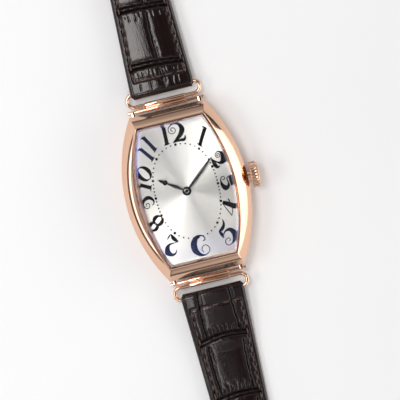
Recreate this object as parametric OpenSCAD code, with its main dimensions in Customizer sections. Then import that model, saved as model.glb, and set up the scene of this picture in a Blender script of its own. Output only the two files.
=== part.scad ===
// Tonneau wristwatch with a hand-wound movement, a hinged wire strap loop at each end
// and a padded leather strap with a pin buckle. It lies open, dial up, on its flat back.
// +X points to 3 o'clock and the crown, +Y to 12 o'clock, +Z out of the dial.
// The origin is the centre of the back's outer face. All sizes are millimetres.

/* [Case] */
// Length of the case from 12 to 6
case_len = 42.4; // [40:0.1:46]
// Width of the case across its middle
case_w = 31.4; // [31:0.1:34]
// Width of the straight ends of the case
case_end_w = 19.2; // [18.8:0.1:20.4]
// Thickness of the back cover
back_t = 0.9; // [0.7:0.05:1.1]
// Height of the case middle above the back cover
middle_h = 4; // [3.8:0.05:4.6]
// How far the back cover is set in from the case edge
back_inset = 0.6; // [0.5:0.05:0.65]
// Gap between each side of the movement ring and the case
ring_gap = 0.05; // [0.02:0.01:0.1]
// Wall of the case middle at its sides
case_wall = 2.9; // [2.6:0.05:3.1]
// Radius of the shank of a back screw
back_screw_r = 0.4; // [0.3:0.02:0.42]
// Radius of the head of a back screw
back_screw_head_r = 0.75; // [0.6:0.05:0.75]
// Width of the groove for the back gasket
gasket_w = 0.6; // [0.4:0.05:0.6]
// Depth of the groove for the back gasket
gasket_d = 0.35; // [0.25:0.05:0.5]

/* [Bezel and crystal] */
// Height of the bezel above the case middle
bezel_h = 2.85; // [2.5:0.05:3.3]
// Width of the bevel at the two sides, from edge to ridge
bevel_side = 3; // [2.7:0.05:3.2]
// Width of the bevel at the two ends, from edge to ridge
bevel_end = 2.9; // [2.6:0.05:3.1]
// Width of the ridge outline at its straight ends
ridge_end_w = 17.4; // [16.8:0.1:17.8]
// Width of the inner chamfer between the ridge and the crystal
inner_chamfer = 0.6; // [0.4:0.05:0.7]
// Height of the rounding of the bevel above the straight line from edge to ridge
bevel_bulge = 0.35; // [0.1:0.05:0.45]
// Gap around the crystal
crystal_gap = 0.06; // [0.03:0.01:0.1]
// Thickness of the crystal at its middle
crystal_t = 1.3; // [1.1:0.05:1.6]
// How far the crystal's ends lie below its middle
crystal_drop = 0.5; // [0.2:0.05:0.6]
// Height of the crystal gasket
crystal_gasket_h = 0.25; // [0.15:0.05:0.35]
// Height of the flange ring between dial and crystal gasket
flange_h = 1.45; // [1.35:0.05:1.8]
// Visible width of the flange ring
flange_w = 0.45; // [0.3:0.05:0.6]

/* [Dial and hands] */
// Thickness of the dial
dial_t = 0.4; // [0.3:0.05:0.5]
// How far the dial reaches under the flange ring
dial_under = 0.4; // [0.3:0.05:0.5]
// Radius of the feet under the dial
dial_foot_r = 0.35; // [0.3:0.05:0.4]
// Length of the minute hand from the centre
minute_hand_len = 10.6; // [9:0.1:11.2]
// Length of the hour hand from the centre
hour_hand_len = 7.9; // [7:0.1:9]
// Where the disc on the hour hand sits, from the centre
hour_disc_at = 5.8; // [5:0.1:6.2]
// Radius of the disc on the hour hand
hour_disc_r = 0.62; // [0.5:0.02:0.8]
// Thickness of each hand
hand_t = 0.2; // [0.12:0.02:0.26]
// Radius of the hub of the minute hand
minute_hub_r = 1; // [0.8:0.05:1.3]
// Radius of the hub of the hour hand
hour_hub_r = 1.15; // [1:0.05:1.4]
// Clock angle of the minute hand at rest
minute_angle = 49.6; // [0:0.1:360]
// Clock angle of the hour hand at rest
hour_angle = 304; // [0:0.1:360]

/* [Crown] */
// Radius of the fluted crown
crown_r = 3.3; // [2.8:0.05:3.45]
// Thickness of the fluted rim
crown_rim_t = 1.7; // [1.4:0.05:2]
// Thickness of the domed cap on the rim
crown_cap_t = 0.75; // [0.5:0.05:1]
// Gap between case and crown, where the tube shows
crown_gap = 0.8; // [0.5:0.05:1]
// Height of the crown axis above the back's outer face
crown_z = 3.5; // [3.48:0.01:3.6]
// Number of flutes on the crown
flutes = 28; // [18:1:36]
// Radius of each flute
flute_r = 0.24; // [0.15:0.01:0.3]
// Outer radius of the crown tube
tube_r = 1; // [0.8:0.05:1.1]
// Radius of the winding stem
stem_r = 0.5; // [0.4:0.05:0.55]
// How far the crown pulls out
crown_pull = 0.6; // [0.4:0.05:0.65]
// Radial gap of a running fit
run_gap = 0.05; // [0.02:0.01:0.08]

/* [Lugs and wire loops] */
// Radius of the fixed bar between the horns
lug_bar_r = 0.4; // [0.3:0.02:0.44]
// Length of the fixed bar
lug_bar_len = 19.7; // [19:0.1:20.4]
// How far the bar's axis lies from the case end
lug_bar_out = 1; // [0.95:0.05:1.2]
// Height of the bar's axis above the back's outer face
lug_z = 2.3; // [2.1:0.05:2.6]
// Gap between the two horns at one end
horn_span = 15.9; // [15.4:0.1:16.2]
// Width of one horn
horn_w = 1.3; // [1:0.05:1.5]
// Wall of a horn around the bar
horn_wall = 0.25; // [0.2:0.01:0.26]
// Length of the link along the bar
link_len = 10.3; // [8:0.1:12]
// Distance between the two barrels of the link
link_pitch = 1.2; // [1.2:0.02:1.4]
// Wall of the link around the bar and the wire
link_wall = 0.3; // [0.22:0.02:0.34]
// Radius of the wire of the loop
wire_r = 0.5; // [0.4:0.02:0.5]
// Length of the loop from wire axis to wire axis
loop_reach = 3.3; // [3.3:0.05:3.8]
// Outer width of the loop
loop_w = 19.7; // [19.4:0.1:20.4]

/* [Strap] */
// Width of the strap at the lug end
strap_w = 16.2; // [15:0.1:16.4]
// Width of the strap at the buckle
strap_tip_w = 14; // [13:0.1:15]
// Length of the 12 side from wire to buckle pin
upper_len = 75; // [70:1:85]
// Length of the 6 side from wire to tip
lower_len = 115; // [105:1:125]
// Radius of the strap's nose around the wire
nose_r = 1.45; // [1.35:0.02:1.6]
// Gap between leather and wire or pin
leather_gap = 0.28; // [0.2:0.02:0.34]
// Thickness of the strap away from the nose
strap_t = 2.2; // [2:0.05:2.4]
// Thickness of the lining
lining_t = 0.6; // [0.4:0.05:0.8]
// Length over which the strap thins and drops
ease_len = 15; // [10:0.5:20]
// Length over which the strap narrows
taper_len = 32; // [25:1:36]
// Where the lining begins, from the wire axis
lining_start = 3; // [2.5:0.1:4]
// Number of holes in the 6 side
hole_count = 7; // [5:1:8]
// Radius of each strap hole
hole_r = 0.9; // [0.8:0.05:1.1]
// Distance between strap holes
hole_pitch = 6.5; // [5:0.1:7]
// Distance from the last hole to the tip
hole_to_tip = 22; // [18:0.5:26]

/* [Keepers and buckle] */
// Width of each keeper along the strap
keeper_len = 5; // [4:0.1:6]
// Thickness of the keepers' leather
keeper_t = 1; // [0.8:0.05:1.1]
// Clear height inside a keeper
keeper_h = 4.7; // [4.5:0.1:5.2]
// Gap between a keeper and the strap's edge
keeper_gap = 0.3; // [0.2:0.05:0.5]
// Distance from the buckle pin to the fixed keeper
fixed_keeper_back = 9; // [8.5:0.5:11]
// Distance from the buckle pin to the free keeper
free_keeper_back = 20; // [19:0.5:26]
// Radius of the buckle pin
pin_r = 0.5; // [0.4:0.02:0.6]
// Width of the buckle's ears and sides
buckle_side = 1.9; // [1.5:0.1:2.3]
// Length of the buckle's far bar
buckle_bar = 2.2; // [1.8:0.1:2.6]
// Free length of the buckle's window
buckle_window = 5.6; // [5.4:0.1:7]
// Thickness of the buckle
buckle_t = 2.2; // [1.9:0.05:2.4]
// Width of the buckle's tongue
tongue_w = 1.6; // [1.3:0.05:2]
// Thickness of the buckle's tongue
tongue_t = 0.8; // [0.6:0.05:1]

/* [Movement] */
// Radius of the main plate
plate_r = 11.5; // [11.5:0.02:11.7]
// How far the main plate's upper edge stands out over the movement ring
plate_lip = 0.4; // [0.35:0.05:0.5]
// Width of the movement ring beside that edge
ring_side = 0.9; // [0.8:0.05:1]
// Thickness of the main plate
plate_t = 1; // [0.9:0.02:1]
// Height of the space between bridges and main plate
train_h = 1.2; // [1.2:0.01:1.24]
// Thickness of the bridges
bridge_t = 0.6; // [0.45:0.05:0.62]
// Thickness of the ratchet wheel and the crown wheel
winding_t = 0.25; // [0.2:0.01:0.28]
// Teeth on the barrel
barrel_teeth = 78; // [76:1:80]
// Leaves of the centre pinion
centre_leaves = 12; // [12:1:13]
// Tooth module of barrel and centre pinion
barrel_module = 0.13; // [0.128:0.001:0.132]
// Teeth on the centre wheel
centre_teeth = 75; // [72:1:76]
// Tooth module of the centre wheel
centre_module = 0.11; // [0.108:0.001:0.112]
// Teeth on the third wheel
third_teeth = 80; // [78:1:81]
// Tooth module of the third wheel
third_module = 0.085; // [0.083:0.001:0.086]
// Leaves of the third and fourth pinions
train_leaves = 10; // [10:1:11]
// Teeth on the fourth wheel
fourth_teeth = 80; // [76:1:82]
// Tooth module of the fourth wheel
fourth_module = 0.075; // [0.073:0.001:0.077]
// Leaves of the escape pinion
escape_leaves = 8; // [8:1:9]
// Teeth on the escape wheel
escape_teeth = 15; // [15:1:16]
// Radius of the escape wheel
escape_r = 2.25; // [2.1:0.01:2.27]
// Radius of the balance wheel
balance_r = 4; // [3.8:0.02:4.02]
// Teeth on the ratchet wheel
ratchet_teeth = 42; // [40:1:44]
// Teeth on the crown wheel
crown_wheel_teeth = 30; // [28:1:30]
// Leaves of the cannon pinion
cannon_leaves = 12; // [12:1:12]
// Teeth on the minute wheel
minute_teeth = 36; // [36:1:36]
// Leaves of the minute wheel's pinion
minute_leaves = 10; // [10:1:10]
// Teeth on the hour wheel
hour_teeth = 40; // [40:1:40]
// Tooth module of the motion work
motion_module = 0.1; // [0.098:0.001:0.102]

/* [Hidden] */
$fn = 48;
// Facets of a full circle of the large outlines, and of those inside a hull
outline_facets = 720;
hull_facets = 144;
// Thickness of the slabs that a hull spans
hull_slab = 0.05;
// A cut runs this far past the face that it opens
past = 0.1;

gold = [0.86, 0.62, 0.47];
steel = [0.75, 0.76, 0.78];
brass = [0.83, 0.69, 0.42];
leather = [0.13, 0.07, 0.05];
rubber = [0.1, 0.1, 0.11];
blued = [0.05, 0.05, 0.09];

// Outlines of the case, as length, width and width of the straight ends
edge_outline = [case_len, case_w, case_end_w];
ridge_outline = [case_len - 2 * bevel_end, case_w - 2 * bevel_side, ridge_end_w];
opening_outline = inset_outline(ridge_outline, inner_chamfer);
flange_outline = inset_outline(opening_outline, flange_w);
dial_outline = inset_outline(opening_outline, -dial_under);
cavity_x = plate_r + plate_lip + ring_side;
wall_line = inset_outline(edge_outline, case_wall);
cavity_outline = [wall_line[0], 2 * cavity_x, wall_line[2]];
back_outline = inset_outline(edge_outline, back_inset);

gasket_out = 0.15;

// Heights above the back's outer face
middle_top = back_t + middle_h;
ridge_z = middle_top + bezel_h;
dial_z = middle_top;
dial_top = dial_z + dial_t;
gasket_z = dial_top + flange_h;
crystal_z = gasket_z + crystal_gasket_h;
winding_z = back_t + 0.15;
bridge_z = winding_z + winding_t + run_gap;
train_z = bridge_z + bridge_t;
plate_z = train_z + train_h;
plate_top = plate_z + plate_t;

// Movement layers between the bridges and the main plate, from the bridges up
layer_gap = 0.06;
balance_z = train_z + 0.15;
balance_t = 0.24;
fourth_z = train_z + 0.15;
wheel_t = 0.15;
pallet_bridge_z = balance_z + balance_t + 0.08;
pallet_bridge_t = 0.16;
third_z = train_z + 0.51;
escape_z = third_z + wheel_t + layer_gap;
escape_t = 0.1;
centre_z = escape_z + escape_t + layer_gap;
centre_t = 0.2;
barrel_h = centre_z - train_z - 0.17;

// Wheel positions in plan
function polar(r, a) = [r * cos(a), r * sin(a)];
function bearing(from, to) = atan2(to[1] - from[1], to[0] - from[0]);
barrel_xy = polar((barrel_teeth + centre_leaves) * barrel_module / 2, 85);
third_xy = polar((centre_teeth + train_leaves) * centre_module / 2, -55);
fourth_xy = third_xy + polar((third_teeth + train_leaves) * third_module / 2, -139.8);
escape_xy = fourth_xy + polar((fourth_teeth + escape_leaves) * fourth_module / 2, 145);
pallet_reach = escape_r + 0.55;
pallet_xy = escape_xy + polar(pallet_reach, 130);
balance_reach = 3;
balance_xy = pallet_xy + polar(balance_reach, 134.7);
crown_wheel_xy = [7.1, 0];
winding_module = 2 * norm(crown_wheel_xy - barrel_xy) / (ratchet_teeth + crown_wheel_teeth);
ratchet_pitch_r = ratchet_teeth * winding_module / 2;
click_xy = barrel_xy + polar(ratchet_pitch_r + 1.37, 150);
motion_reach = (cannon_leaves + minute_teeth) * motion_module / 2;
minute_xy = [motion_reach, 0];
hour_module = 2 * motion_reach / (minute_leaves + hour_teeth);
arbor_r = 0.16;
pivot_r = 0.1;
pivot_len = 0.3;
jewel_r = 0.55;
jewel_t = 0.35;
jewel_bore_r = pivot_r + 0.03;
seat_gap = 0.01;
train_jewels = [third_xy, fourth_xy, escape_xy];

// Keyless works along the stem
pinion_x = 9.3;
pinion_len = 0.9;
pinion_r = crown_z - train_z - 0.35;
slider_len = 1;
slider_x = pinion_x - slider_len - 0.1;
slider_r = 0.9;
slider_shift = crown_pull / 2;
slider_groove_w = 0.4;
slider_groove_x = slider_x + 0.2;
stem_groove_x = 10.4;
stem_groove_w = 0.4;
lever_arm = 2.6;
lever_xy = [stem_groove_x + stem_groove_w / 2, -lever_arm];
lever_z = plate_top + 0.1;
lever_t = 0.2;
setting_from = minute_xy[0] + minute_teeth * motion_module / 2;
setting_room = slider_x - slider_shift - 0.02 - setting_from;
setting_teeth = floor(setting_room / motion_module) - 1;
setting_xy = [setting_from + setting_teeth * motion_module / 2, 0];

// Motion work above the main plate
minute_z = plate_top + 0.1;
cannon_z = plate_top + 0.05;
cannon_leaf_h = 0.3;
hour_z = cannon_z + cannon_leaf_h + 0.05;
centre_arbor_r = 0.2;
cannon_bore_r = centre_arbor_r + run_gap;
cannon_r = 0.45;
hour_bore_r = cannon_r + run_gap;
hour_pipe_r = 0.8;
hour_hand_z = dial_top + 0.45;
minute_hand_z = hour_hand_z + hand_t + 0.3;

// Crown and stem
case_side_x = case_w / 2;
crown_x = case_side_x + crown_gap;
crown_end_x = crown_x + crown_rim_t + crown_cap_t;
recess_depth = 0.9;
recess_r = tube_r + 0.75;
tube_end_x = crown_x + 0.5;
tube_bore_r = stem_r + run_gap;

// Horns, links and loops; side is 1 at 12 o'clock and -1 at 6 o'clock
lug_y = case_len / 2 + lug_bar_out;
stub_y = lug_y + link_pitch;
wire_y = stub_y + loop_reach;
loop_bend_r = loop_reach / 2;
loop_bend_x = loop_w / 2 - wire_r - loop_bend_r;
link_bar_r = lug_bar_r + run_gap + link_wall;
link_wire_r = wire_r + run_gap + link_wall;
stub_in = link_len / 2 - 1.2;
horn_r = lug_bar_r + horn_wall;

// Strap levels
channel_r = wire_r + leather_gap;
buckle_y = wire_y + upper_len;
tip_y = wire_y + lower_len;
upper_base = keeper_t + 0.15;
pin_z = upper_base + strap_t / 2;
buckle_nose_r = strap_t / 2 + 0.25;
keeper_in_w = strap_tip_w + 2 * keeper_gap;
slot_w = tongue_w + 1.2;
buckle_in_w = strap_tip_w + 0.8;
buckle_window_y = buckle_nose_r + 0.45;
pin_len = buckle_in_w + 2 * buckle_side - 0.4;

// Pillars under the bridges, one screw in each
barrel_pillars = [[-6.4, 6.2], [7.6, 6]];
train_pillars = [[6.6, -6.4], [-4.2, -8.6]];
cock_foot = [-7.4, -6.2];
cock_r = 1.3;
hairspring_r = 1.95;
stud_xy = balance_xy + polar(hairspring_r + 0.25, 43);
pillar_r = 0.8;
screw_r = 0.35;
screw_head_r = 0.7;
screw_head_t = 0.25;
screw_bite = 0.6;
rim_w = 0.4;
pallet_foot_r = 0.4;
pallet_feet = [pallet_xy + polar(2.4, 110), pallet_xy + polar(2.2, 220)];

function inset_outline(outline, d) =
    let (slope = (outline[1] - outline[2]) / outline[0])
    [outline[0] - 2 * d, outline[1] - 2 * d, outline[2] - 2 * d * (1 - 2 * slope)];

function side_radius(outline) =
    (pow(outline[0] / 2, 2) + pow((outline[1] - outline[2]) / 2, 2)) / (outline[1] - outline[2]);

// A tonneau: straight ends, and sides that are arcs of one circle each
module tonneau(outline, facets = outline_facets) {
    r = side_radius(outline);
    intersection() {
        square([outline[1], outline[0]], center = true);
        translate([outline[1] / 2 - r, 0]) circle(r = r, $fn = facets);
        translate([r - outline[1] / 2, 0]) circle(r = r, $fn = facets);
    }
}

module slab(outline, z, t) {
    translate([0, 0, z]) linear_extrude(t) tonneau(outline);
}

module thin_slab(outline, z) {
    translate([0, 0, z]) linear_extrude(hull_slab) tonneau(outline, hull_facets);
}

module rod_x(x0, x1, r, y = 0, z = 0) {
    translate([x0, y, z]) rotate([0, 90, 0]) cylinder(h = x1 - x0, r = r);
}

module disc(xy, z, t, r) {
    translate([xy[0], xy[1], z]) cylinder(h = t, r = r);
}

// Gear outline: four points a tooth, with a tooth on the +X axis
function gear_points(teeth, m) = [
    for (i = [0:teeth - 1])
        for (p = [[-0.27, -1.2], [-0.11, 1], [0.11, 1], [0.27, -1.2]])
            polar(teeth * m / 2 + p[1] * m, (i + p[0]) * 360 / teeth)
];

module gear(xy, z, t, teeth, m, angle) {
    translate([xy[0], xy[1], z]) rotate(angle) linear_extrude(t) polygon(gear_points(teeth, m));
}

// Spoked wheel with teeth, a rim and a hub
module spoked_gear(xy, z, t, teeth, m, angle, hub_r, spokes) {
    root_r = teeth * m / 2 - 1.2 * m;
    rim_r = root_r - 0.35;
    translate([xy[0], xy[1], z]) rotate(angle) linear_extrude(t) {
        difference() {
            polygon(gear_points(teeth, m));
            circle(r = rim_r);
        }
        circle(r = hub_r);
        for (i = [0:spokes - 1])
            rotate((i + 0.5) * 360 / spokes) translate([0, -0.16]) square([rim_r + 0.1, 0.32]);
    }
}

// Arbor with a pivot at each end that runs in the jewels of bridge and main plate
module arbor(xy) {
    disc(xy, train_z + 0.03, train_h - 0.06, arbor_r);
    disc(xy, train_z - pivot_len, train_h + 2 * pivot_len, pivot_r);
}

// Flat bar with round ends from one point to another
module bar(from, to, w) {
    translate(from) rotate(bearing(from, to)) translate([0, -w / 2]) square([norm(to - from), w]);
    translate(from) circle(d = w);
    translate(to) circle(d = w);
}

// Spiral strip from an inner to an outer radius
function spiral_edge(r0, r1, turns, steps, shift) = [
    for (i = [0:turns * steps]) polar(r0 + (r1 - r0) * i / (turns * steps) + shift, i * 360 / steps)
];

module spiral(r0, r1, turns, w) {
    steps = 20;
    inner = spiral_edge(r0, r1, turns, steps, 0);
    outer = spiral_edge(r0, r1, turns, steps, w);
    polygon(concat(inner, [for (i = [len(outer) - 1:-1:0]) outer[i]]));
}

// Case

module back_screw_places() {
    screw_y = case_len / 2 - back_inset - back_screw_head_r - 0.35;
    for (sx = [-1, 1], sy = [-1, 1]) translate([sx * (case_end_w / 2 - 1), sy * screw_y, 0]) children();
}

// Band outside the cavity for the back gasket, drawn in by the same gap on both of its sides
module gasket_band(gap) {
    difference() {
        tonneau(inset_outline(cavity_outline, -gasket_out - gasket_w + gap));
        tonneau(inset_outline(cavity_outline, -gasket_out - gap));
    }
}

module horns(side) {
    for (s = [-1, 1])
        translate([s * (horn_span / 2 + horn_w / 2) - horn_w / 2, 0, 0])
            rotate([90, 0, 90]) linear_extrude(horn_w) {
                translate([side * lug_y, lug_z]) circle(r = horn_r);
                translate([min(side * lug_y, side * (case_len / 2 - 1)), lug_z - horn_r])
                    square([lug_bar_out + 1, 2 * horn_r]);
            }
}

module case_middle() {
    color(gold) difference() {
        union() {
            slab(edge_outline, back_t, middle_h);
            for (side = [-1, 1]) horns(side);
        }
        slab(cavity_outline, back_t - past, middle_h + 2 * past);
        translate([0, 0, back_t - past]) linear_extrude(gasket_d + past) gasket_band(0);
        back_screw_places() cylinder(h = back_t + 1.6, r = back_screw_r + seat_gap);
        for (side = [-1, 1]) rod_x(-case_w / 2, case_w / 2, lug_bar_r + seat_gap, side * lug_y, lug_z);
        rod_x(cavity_x - 1, case_side_x + 1, tube_r + seat_gap, 0, crown_z);
    }
}

module case_back() {
    color(gold) difference() {
        slab(back_outline, 0, back_t);
        back_screw_places() {
            translate([0, 0, -past]) cylinder(h = back_t + 2 * past, r = back_screw_r + run_gap);
            translate([0, 0, -past]) cylinder(h = 0.5 + past, r = back_screw_head_r + run_gap);
        }
    }
}

module back_gasket() {
    color(rubber) translate([0, 0, back_t]) linear_extrude(gasket_d - seat_gap) gasket_band(2 * seat_gap);
}

module back_screws() {
    color(steel) back_screw_places() difference() {
        union() {
            translate([0, 0, 0.05]) cylinder(h = 0.45, r = back_screw_head_r);
            translate([0, 0, 0.5]) cylinder(h = back_t + 1, r = back_screw_r);
        }
        translate([-back_screw_head_r, -0.1, 0]) cube([2 * back_screw_head_r, 0.2, 0.25]);
    }
}

module bezel() {
    mid = [for (i = [0:2]) (edge_outline[i] + ridge_outline[i]) / 2];
    color(gold) difference() {
        hull() {
            thin_slab(edge_outline, middle_top);
            thin_slab(edge_outline, middle_top + 0.25);
            thin_slab(mid, (middle_top + ridge_z) / 2 + bevel_bulge);
            thin_slab(ridge_outline, ridge_z - hull_slab);
        }
        slab(opening_outline, middle_top - past, bezel_h + 2 * past);
        slab(inset_outline(dial_outline, -0.1), middle_top - past, dial_t + 0.05 + past);
        hull() {
            thin_slab(opening_outline, ridge_z - 0.45);
            thin_slab(inset_outline(ridge_outline, 0.08), ridge_z);
        }
    }
}

// The crystal's top falls towards 12 and 6 along a shallow curve of straight steps
module crystal() {
    span = opening_outline[0] / 2;
    steps = 24;
    top = [
        for (i = [0:steps])
            let (u = 2 * i / steps - 1) [u * span, crystal_z + crystal_t - crystal_drop * u * u]
    ];
    color([0.9, 0.94, 0.98, 0.35]) intersection() {
        slab(inset_outline(opening_outline, crystal_gap), crystal_z, crystal_t);
        rotate([90, 0, 90]) translate([0, 0, -case_w / 2]) linear_extrude(case_w)
            polygon(concat([[span, crystal_z], [-span, crystal_z]], top));
    }
}

module ring_between(outer, inner, z, t) {
    translate([0, 0, z]) linear_extrude(t) difference() {
        tonneau(outer);
        tonneau(inner);
    }
}

module crystal_gasket() {
    color(rubber) ring_between(inset_outline(opening_outline, seat_gap),
        inset_outline(flange_outline, -0.05), gasket_z, crystal_gasket_h);
}

module flange_ring() {
    color(gold) ring_between(inset_outline(opening_outline, seat_gap), flange_outline, dial_top, flange_h);
}

// Dial and hands

dial_feet = [polar(10, 135), polar(10, -45)];

module dial() {
    color([0.86, 0.87, 0.88]) difference() {
        union() {
            slab(dial_outline, dial_z, dial_t);
            for (p = dial_feet) disc(p, dial_z - 1.1, 1.1 + dial_t / 2, dial_foot_r);
        }
        disc([0, 0], dial_z - past, dial_t + 2 * past, hour_pipe_r + 2 * run_gap);
    }
}

module hour_hand() {
    tip_w = 0.3;
    color(blued) translate([0, 0, hour_hand_z]) rotate(90 - hour_angle)
        linear_extrude(hand_t) difference() {
        union() {
            circle(r = hour_hub_r);
            polygon([[0, -0.42], [hour_disc_at, -0.3], [hour_disc_at, 0.3], [0, 0.42]]);
            translate([hour_disc_at, 0]) circle(r = hour_disc_r);
            polygon([
                [hour_disc_at, -0.4], [hour_hand_len, -tip_w / 2],
                [hour_hand_len, tip_w / 2], [hour_disc_at, 0.4]
            ]);
        }
        circle(r = hour_pipe_r + seat_gap);
        translate([hour_disc_at, 0]) circle(r = hour_disc_r * 0.45);
    }
}

module minute_hand() {
    tip_w = 0.24;
    color(blued) translate([0, 0, minute_hand_z]) rotate(90 - minute_angle)
        linear_extrude(hand_t) difference() {
        union() {
            circle(r = minute_hub_r);
            polygon([[0, -0.4], [minute_hand_len, -tip_w / 2], [minute_hand_len, tip_w / 2], [0, 0.4]]);
        }
        circle(r = cannon_r + seat_gap);
    }
}

// Crown and stem

module crown() {
    color(gold) difference() {
        union() {
            rod_x(crown_x, crown_x + crown_rim_t, crown_r, 0, crown_z);
            translate([crown_x + crown_rim_t, 0, crown_z]) rotate([0, 90, 0]) rotate_extrude() {
                dome_drop = crown_cap_t * 0.45;
                cap_r = crown_r - flute_r - 0.1;
                dome_r = (pow(cap_r, 2) + pow(dome_drop, 2)) / (2 * dome_drop);
                square([cap_r, crown_cap_t - dome_drop]);
                intersection() {
                    square([cap_r, crown_cap_t]);
                    translate([0, crown_cap_t - dome_r]) circle(r = dome_r, $fn = 180);
                }
            }
        }
        for (i = [0:flutes - 1])
            translate([0, 0, crown_z]) rotate([i * 360 / flutes, 0, 0])
                rod_x(crown_x - past, crown_x + crown_rim_t + 0.001, flute_r, 0, crown_r);
        rod_x(crown_x - past, crown_x + recess_depth, recess_r, 0, crown_z);
        rod_x(crown_x, crown_x + crown_rim_t, stem_r + seat_gap, 0, crown_z);
    }
}

module crown_gasket() {
    color(rubber) difference() {
        rod_x(crown_x + 0.05, crown_x + 0.45, recess_r - run_gap, 0, crown_z);
        rod_x(crown_x, crown_x + 0.5, tube_r + run_gap, 0, crown_z);
    }
}

module crown_tube() {
    color(gold) difference() {
        rod_x(cavity_x + 0.2, tube_end_x, tube_r, 0, crown_z);
        rod_x(cavity_x - past, tube_end_x + past, tube_bore_r, 0, crown_z);
    }
}

module winding_stem() {
    color(steel) difference() {
        rod_x(slider_x - slider_shift + 0.1, crown_x + crown_rim_t, stem_r, 0, crown_z);
        difference() {
            rod_x(stem_groove_x, stem_groove_x + stem_groove_w, stem_r + 0.1, 0, crown_z);
            rod_x(stem_groove_x - past, stem_groove_x + stem_groove_w + past, stem_r - 0.2, 0, crown_z);
        }
    }
}

// Lug bars, links and loops

module lug_bar(side) {
    color(gold) rod_x(-lug_bar_len / 2, lug_bar_len / 2, lug_bar_r, side * lug_y, lug_z);
}

module lug_link(side) {
    color(gold) difference() {
        union() {
            rod_x(-link_len / 2, link_len / 2, link_bar_r, side * lug_y, lug_z);
            rod_x(-link_len / 2, link_len / 2, link_wire_r, side * stub_y, lug_z);
        }
        rod_x(-link_len, link_len, lug_bar_r + run_gap, side * lug_y, lug_z);
        rod_x(-link_len, link_len, wire_r + run_gap, side * stub_y, lug_z);
    }
}

module wire_loop(side) {
    color(gold) {
        for (s = [-1, 1]) {
            x0 = s > 0 ? link_len / 2 - stub_in : -loop_bend_x;
            rod_x(x0, x0 + loop_bend_x - (link_len / 2 - stub_in), wire_r, side * stub_y, lug_z);
            translate([s * loop_bend_x, side * (stub_y + loop_bend_r), lug_z])
                rotate(s > 0 ? -90 : 90)
                    rotate_extrude(angle = 180) translate([loop_bend_r, 0]) circle(r = wire_r);
        }
        rod_x(-loop_bend_x, loop_bend_x, wire_r, side * wire_y, lug_z);
    }
}

// Strap

// Plan outline of a strap half, running along +Y from the wire to its end
module strap_plan(length, tip) {
    near = -nose_r;
    polygon([
        [-strap_w / 2, near], [strap_w / 2, near], [strap_w / 2, 1], [strap_tip_w / 2, taper_len],
        [strap_tip_w / 2, length - tip], [strap_tip_w * 0.27, length - tip * 0.3], [0, length],
        [-strap_tip_w * 0.27, length - tip * 0.3], [-strap_tip_w / 2, length - tip],
        [-strap_tip_w / 2, taper_len], [-strap_w / 2, 1]
    ]);
}

// Side outline of a strap half between two heights above its underside, easing down to a base level
module strap_side(length, base, low, high) {
    nose_base = lug_z - nose_r;
    nose_t = 2 * nose_r;
    polygon([
        [0, nose_base + nose_t * low], [ease_len, base + strap_t * low], [length, base + strap_t * low],
        [length, base + strap_t * high], [ease_len, base + strap_t * high], [0, nose_base + nose_t * high]
    ]);
}

module from_side() {
    rotate([90, 0, 90]) translate([0, 0, -strap_w]) linear_extrude(2 * strap_w) children();
}

module placed_strap(side) {
    mirror([0, side > 0 ? 0 : 1, 0]) translate([0, wire_y, 0]) children();
}

lining_share = lining_t / strap_t;

// The lining's space below the strap's top leather, from lining_start on
module lining_side(length, base, end_gap) {
    intersection() {
        strap_side(length - end_gap, base, 0, lining_share);
        translate([lining_start, -1]) square([length, 10]);
    }
}

module strap_body(length, base, tip, end_gap) {
    intersection() {
        linear_extrude(10) strap_plan(length, tip);
        from_side() difference() {
            union() {
                translate([0, lug_z]) circle(r = nose_r);
                strap_side(length, base, 0, 1);
            }
            lining_side(length, base, end_gap);
            translate([0, lug_z]) circle(r = channel_r);
        }
    }
}

module lining_body(length, base, tip, end_gap) {
    intersection() {
        linear_extrude(10) strap_plan(length, tip);
        from_side() lining_side(length, base, end_gap);
    }
}

module strap_holes() {
    for (i = [0:hole_count - 1])
        translate([0, lower_len - hole_to_tip - i * hole_pitch, -1]) cylinder(h = 12, r = hole_r);
}

upper_end_gap = buckle_nose_r + 6;

module upper_strap() {
    color(leather) placed_strap(1) difference() {
        union() {
            strap_body(upper_len, upper_base, 0, upper_end_gap);
            rod_x(-strap_tip_w / 2, strap_tip_w / 2, buckle_nose_r, upper_len, pin_z);
        }
        rod_x(-strap_w, strap_w, pin_r + leather_gap, upper_len, pin_z);
        translate([-slot_w / 2, upper_len - 3.5, -1]) cube([slot_w, 3.5 + buckle_nose_r + 1, 12]);
    }
}

module upper_lining() {
    color(leather) placed_strap(1) lining_body(upper_len, upper_base, 0, upper_end_gap);
}

module lower_strap() {
    color(leather) placed_strap(-1) difference() {
        strap_body(lower_len, 0, 9, 0);
        strap_holes();
    }
}

module lower_lining() {
    color(leather) placed_strap(-1) difference() {
        lining_body(lower_len, 0, 9, 0);
        strap_holes();
    }
}

module keeper(y, z) {
    out_w = keeper_in_w + 2 * keeper_t;
    color(leather) translate([0, y - keeper_len / 2, z]) difference() {
        translate([-out_w / 2, 0, 0]) cube([out_w, keeper_len, keeper_h + 2 * keeper_t]);
        translate([-keeper_in_w / 2, -past, keeper_t]) cube([keeper_in_w, keeper_len + 2 * past, keeper_h]);
    }
}

module fixed_keeper() {
    keeper(buckle_y - fixed_keeper_back, upper_base - keeper_t);
}

module free_keeper() {
    keeper(buckle_y - free_keeper_back, 0);
}

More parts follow.
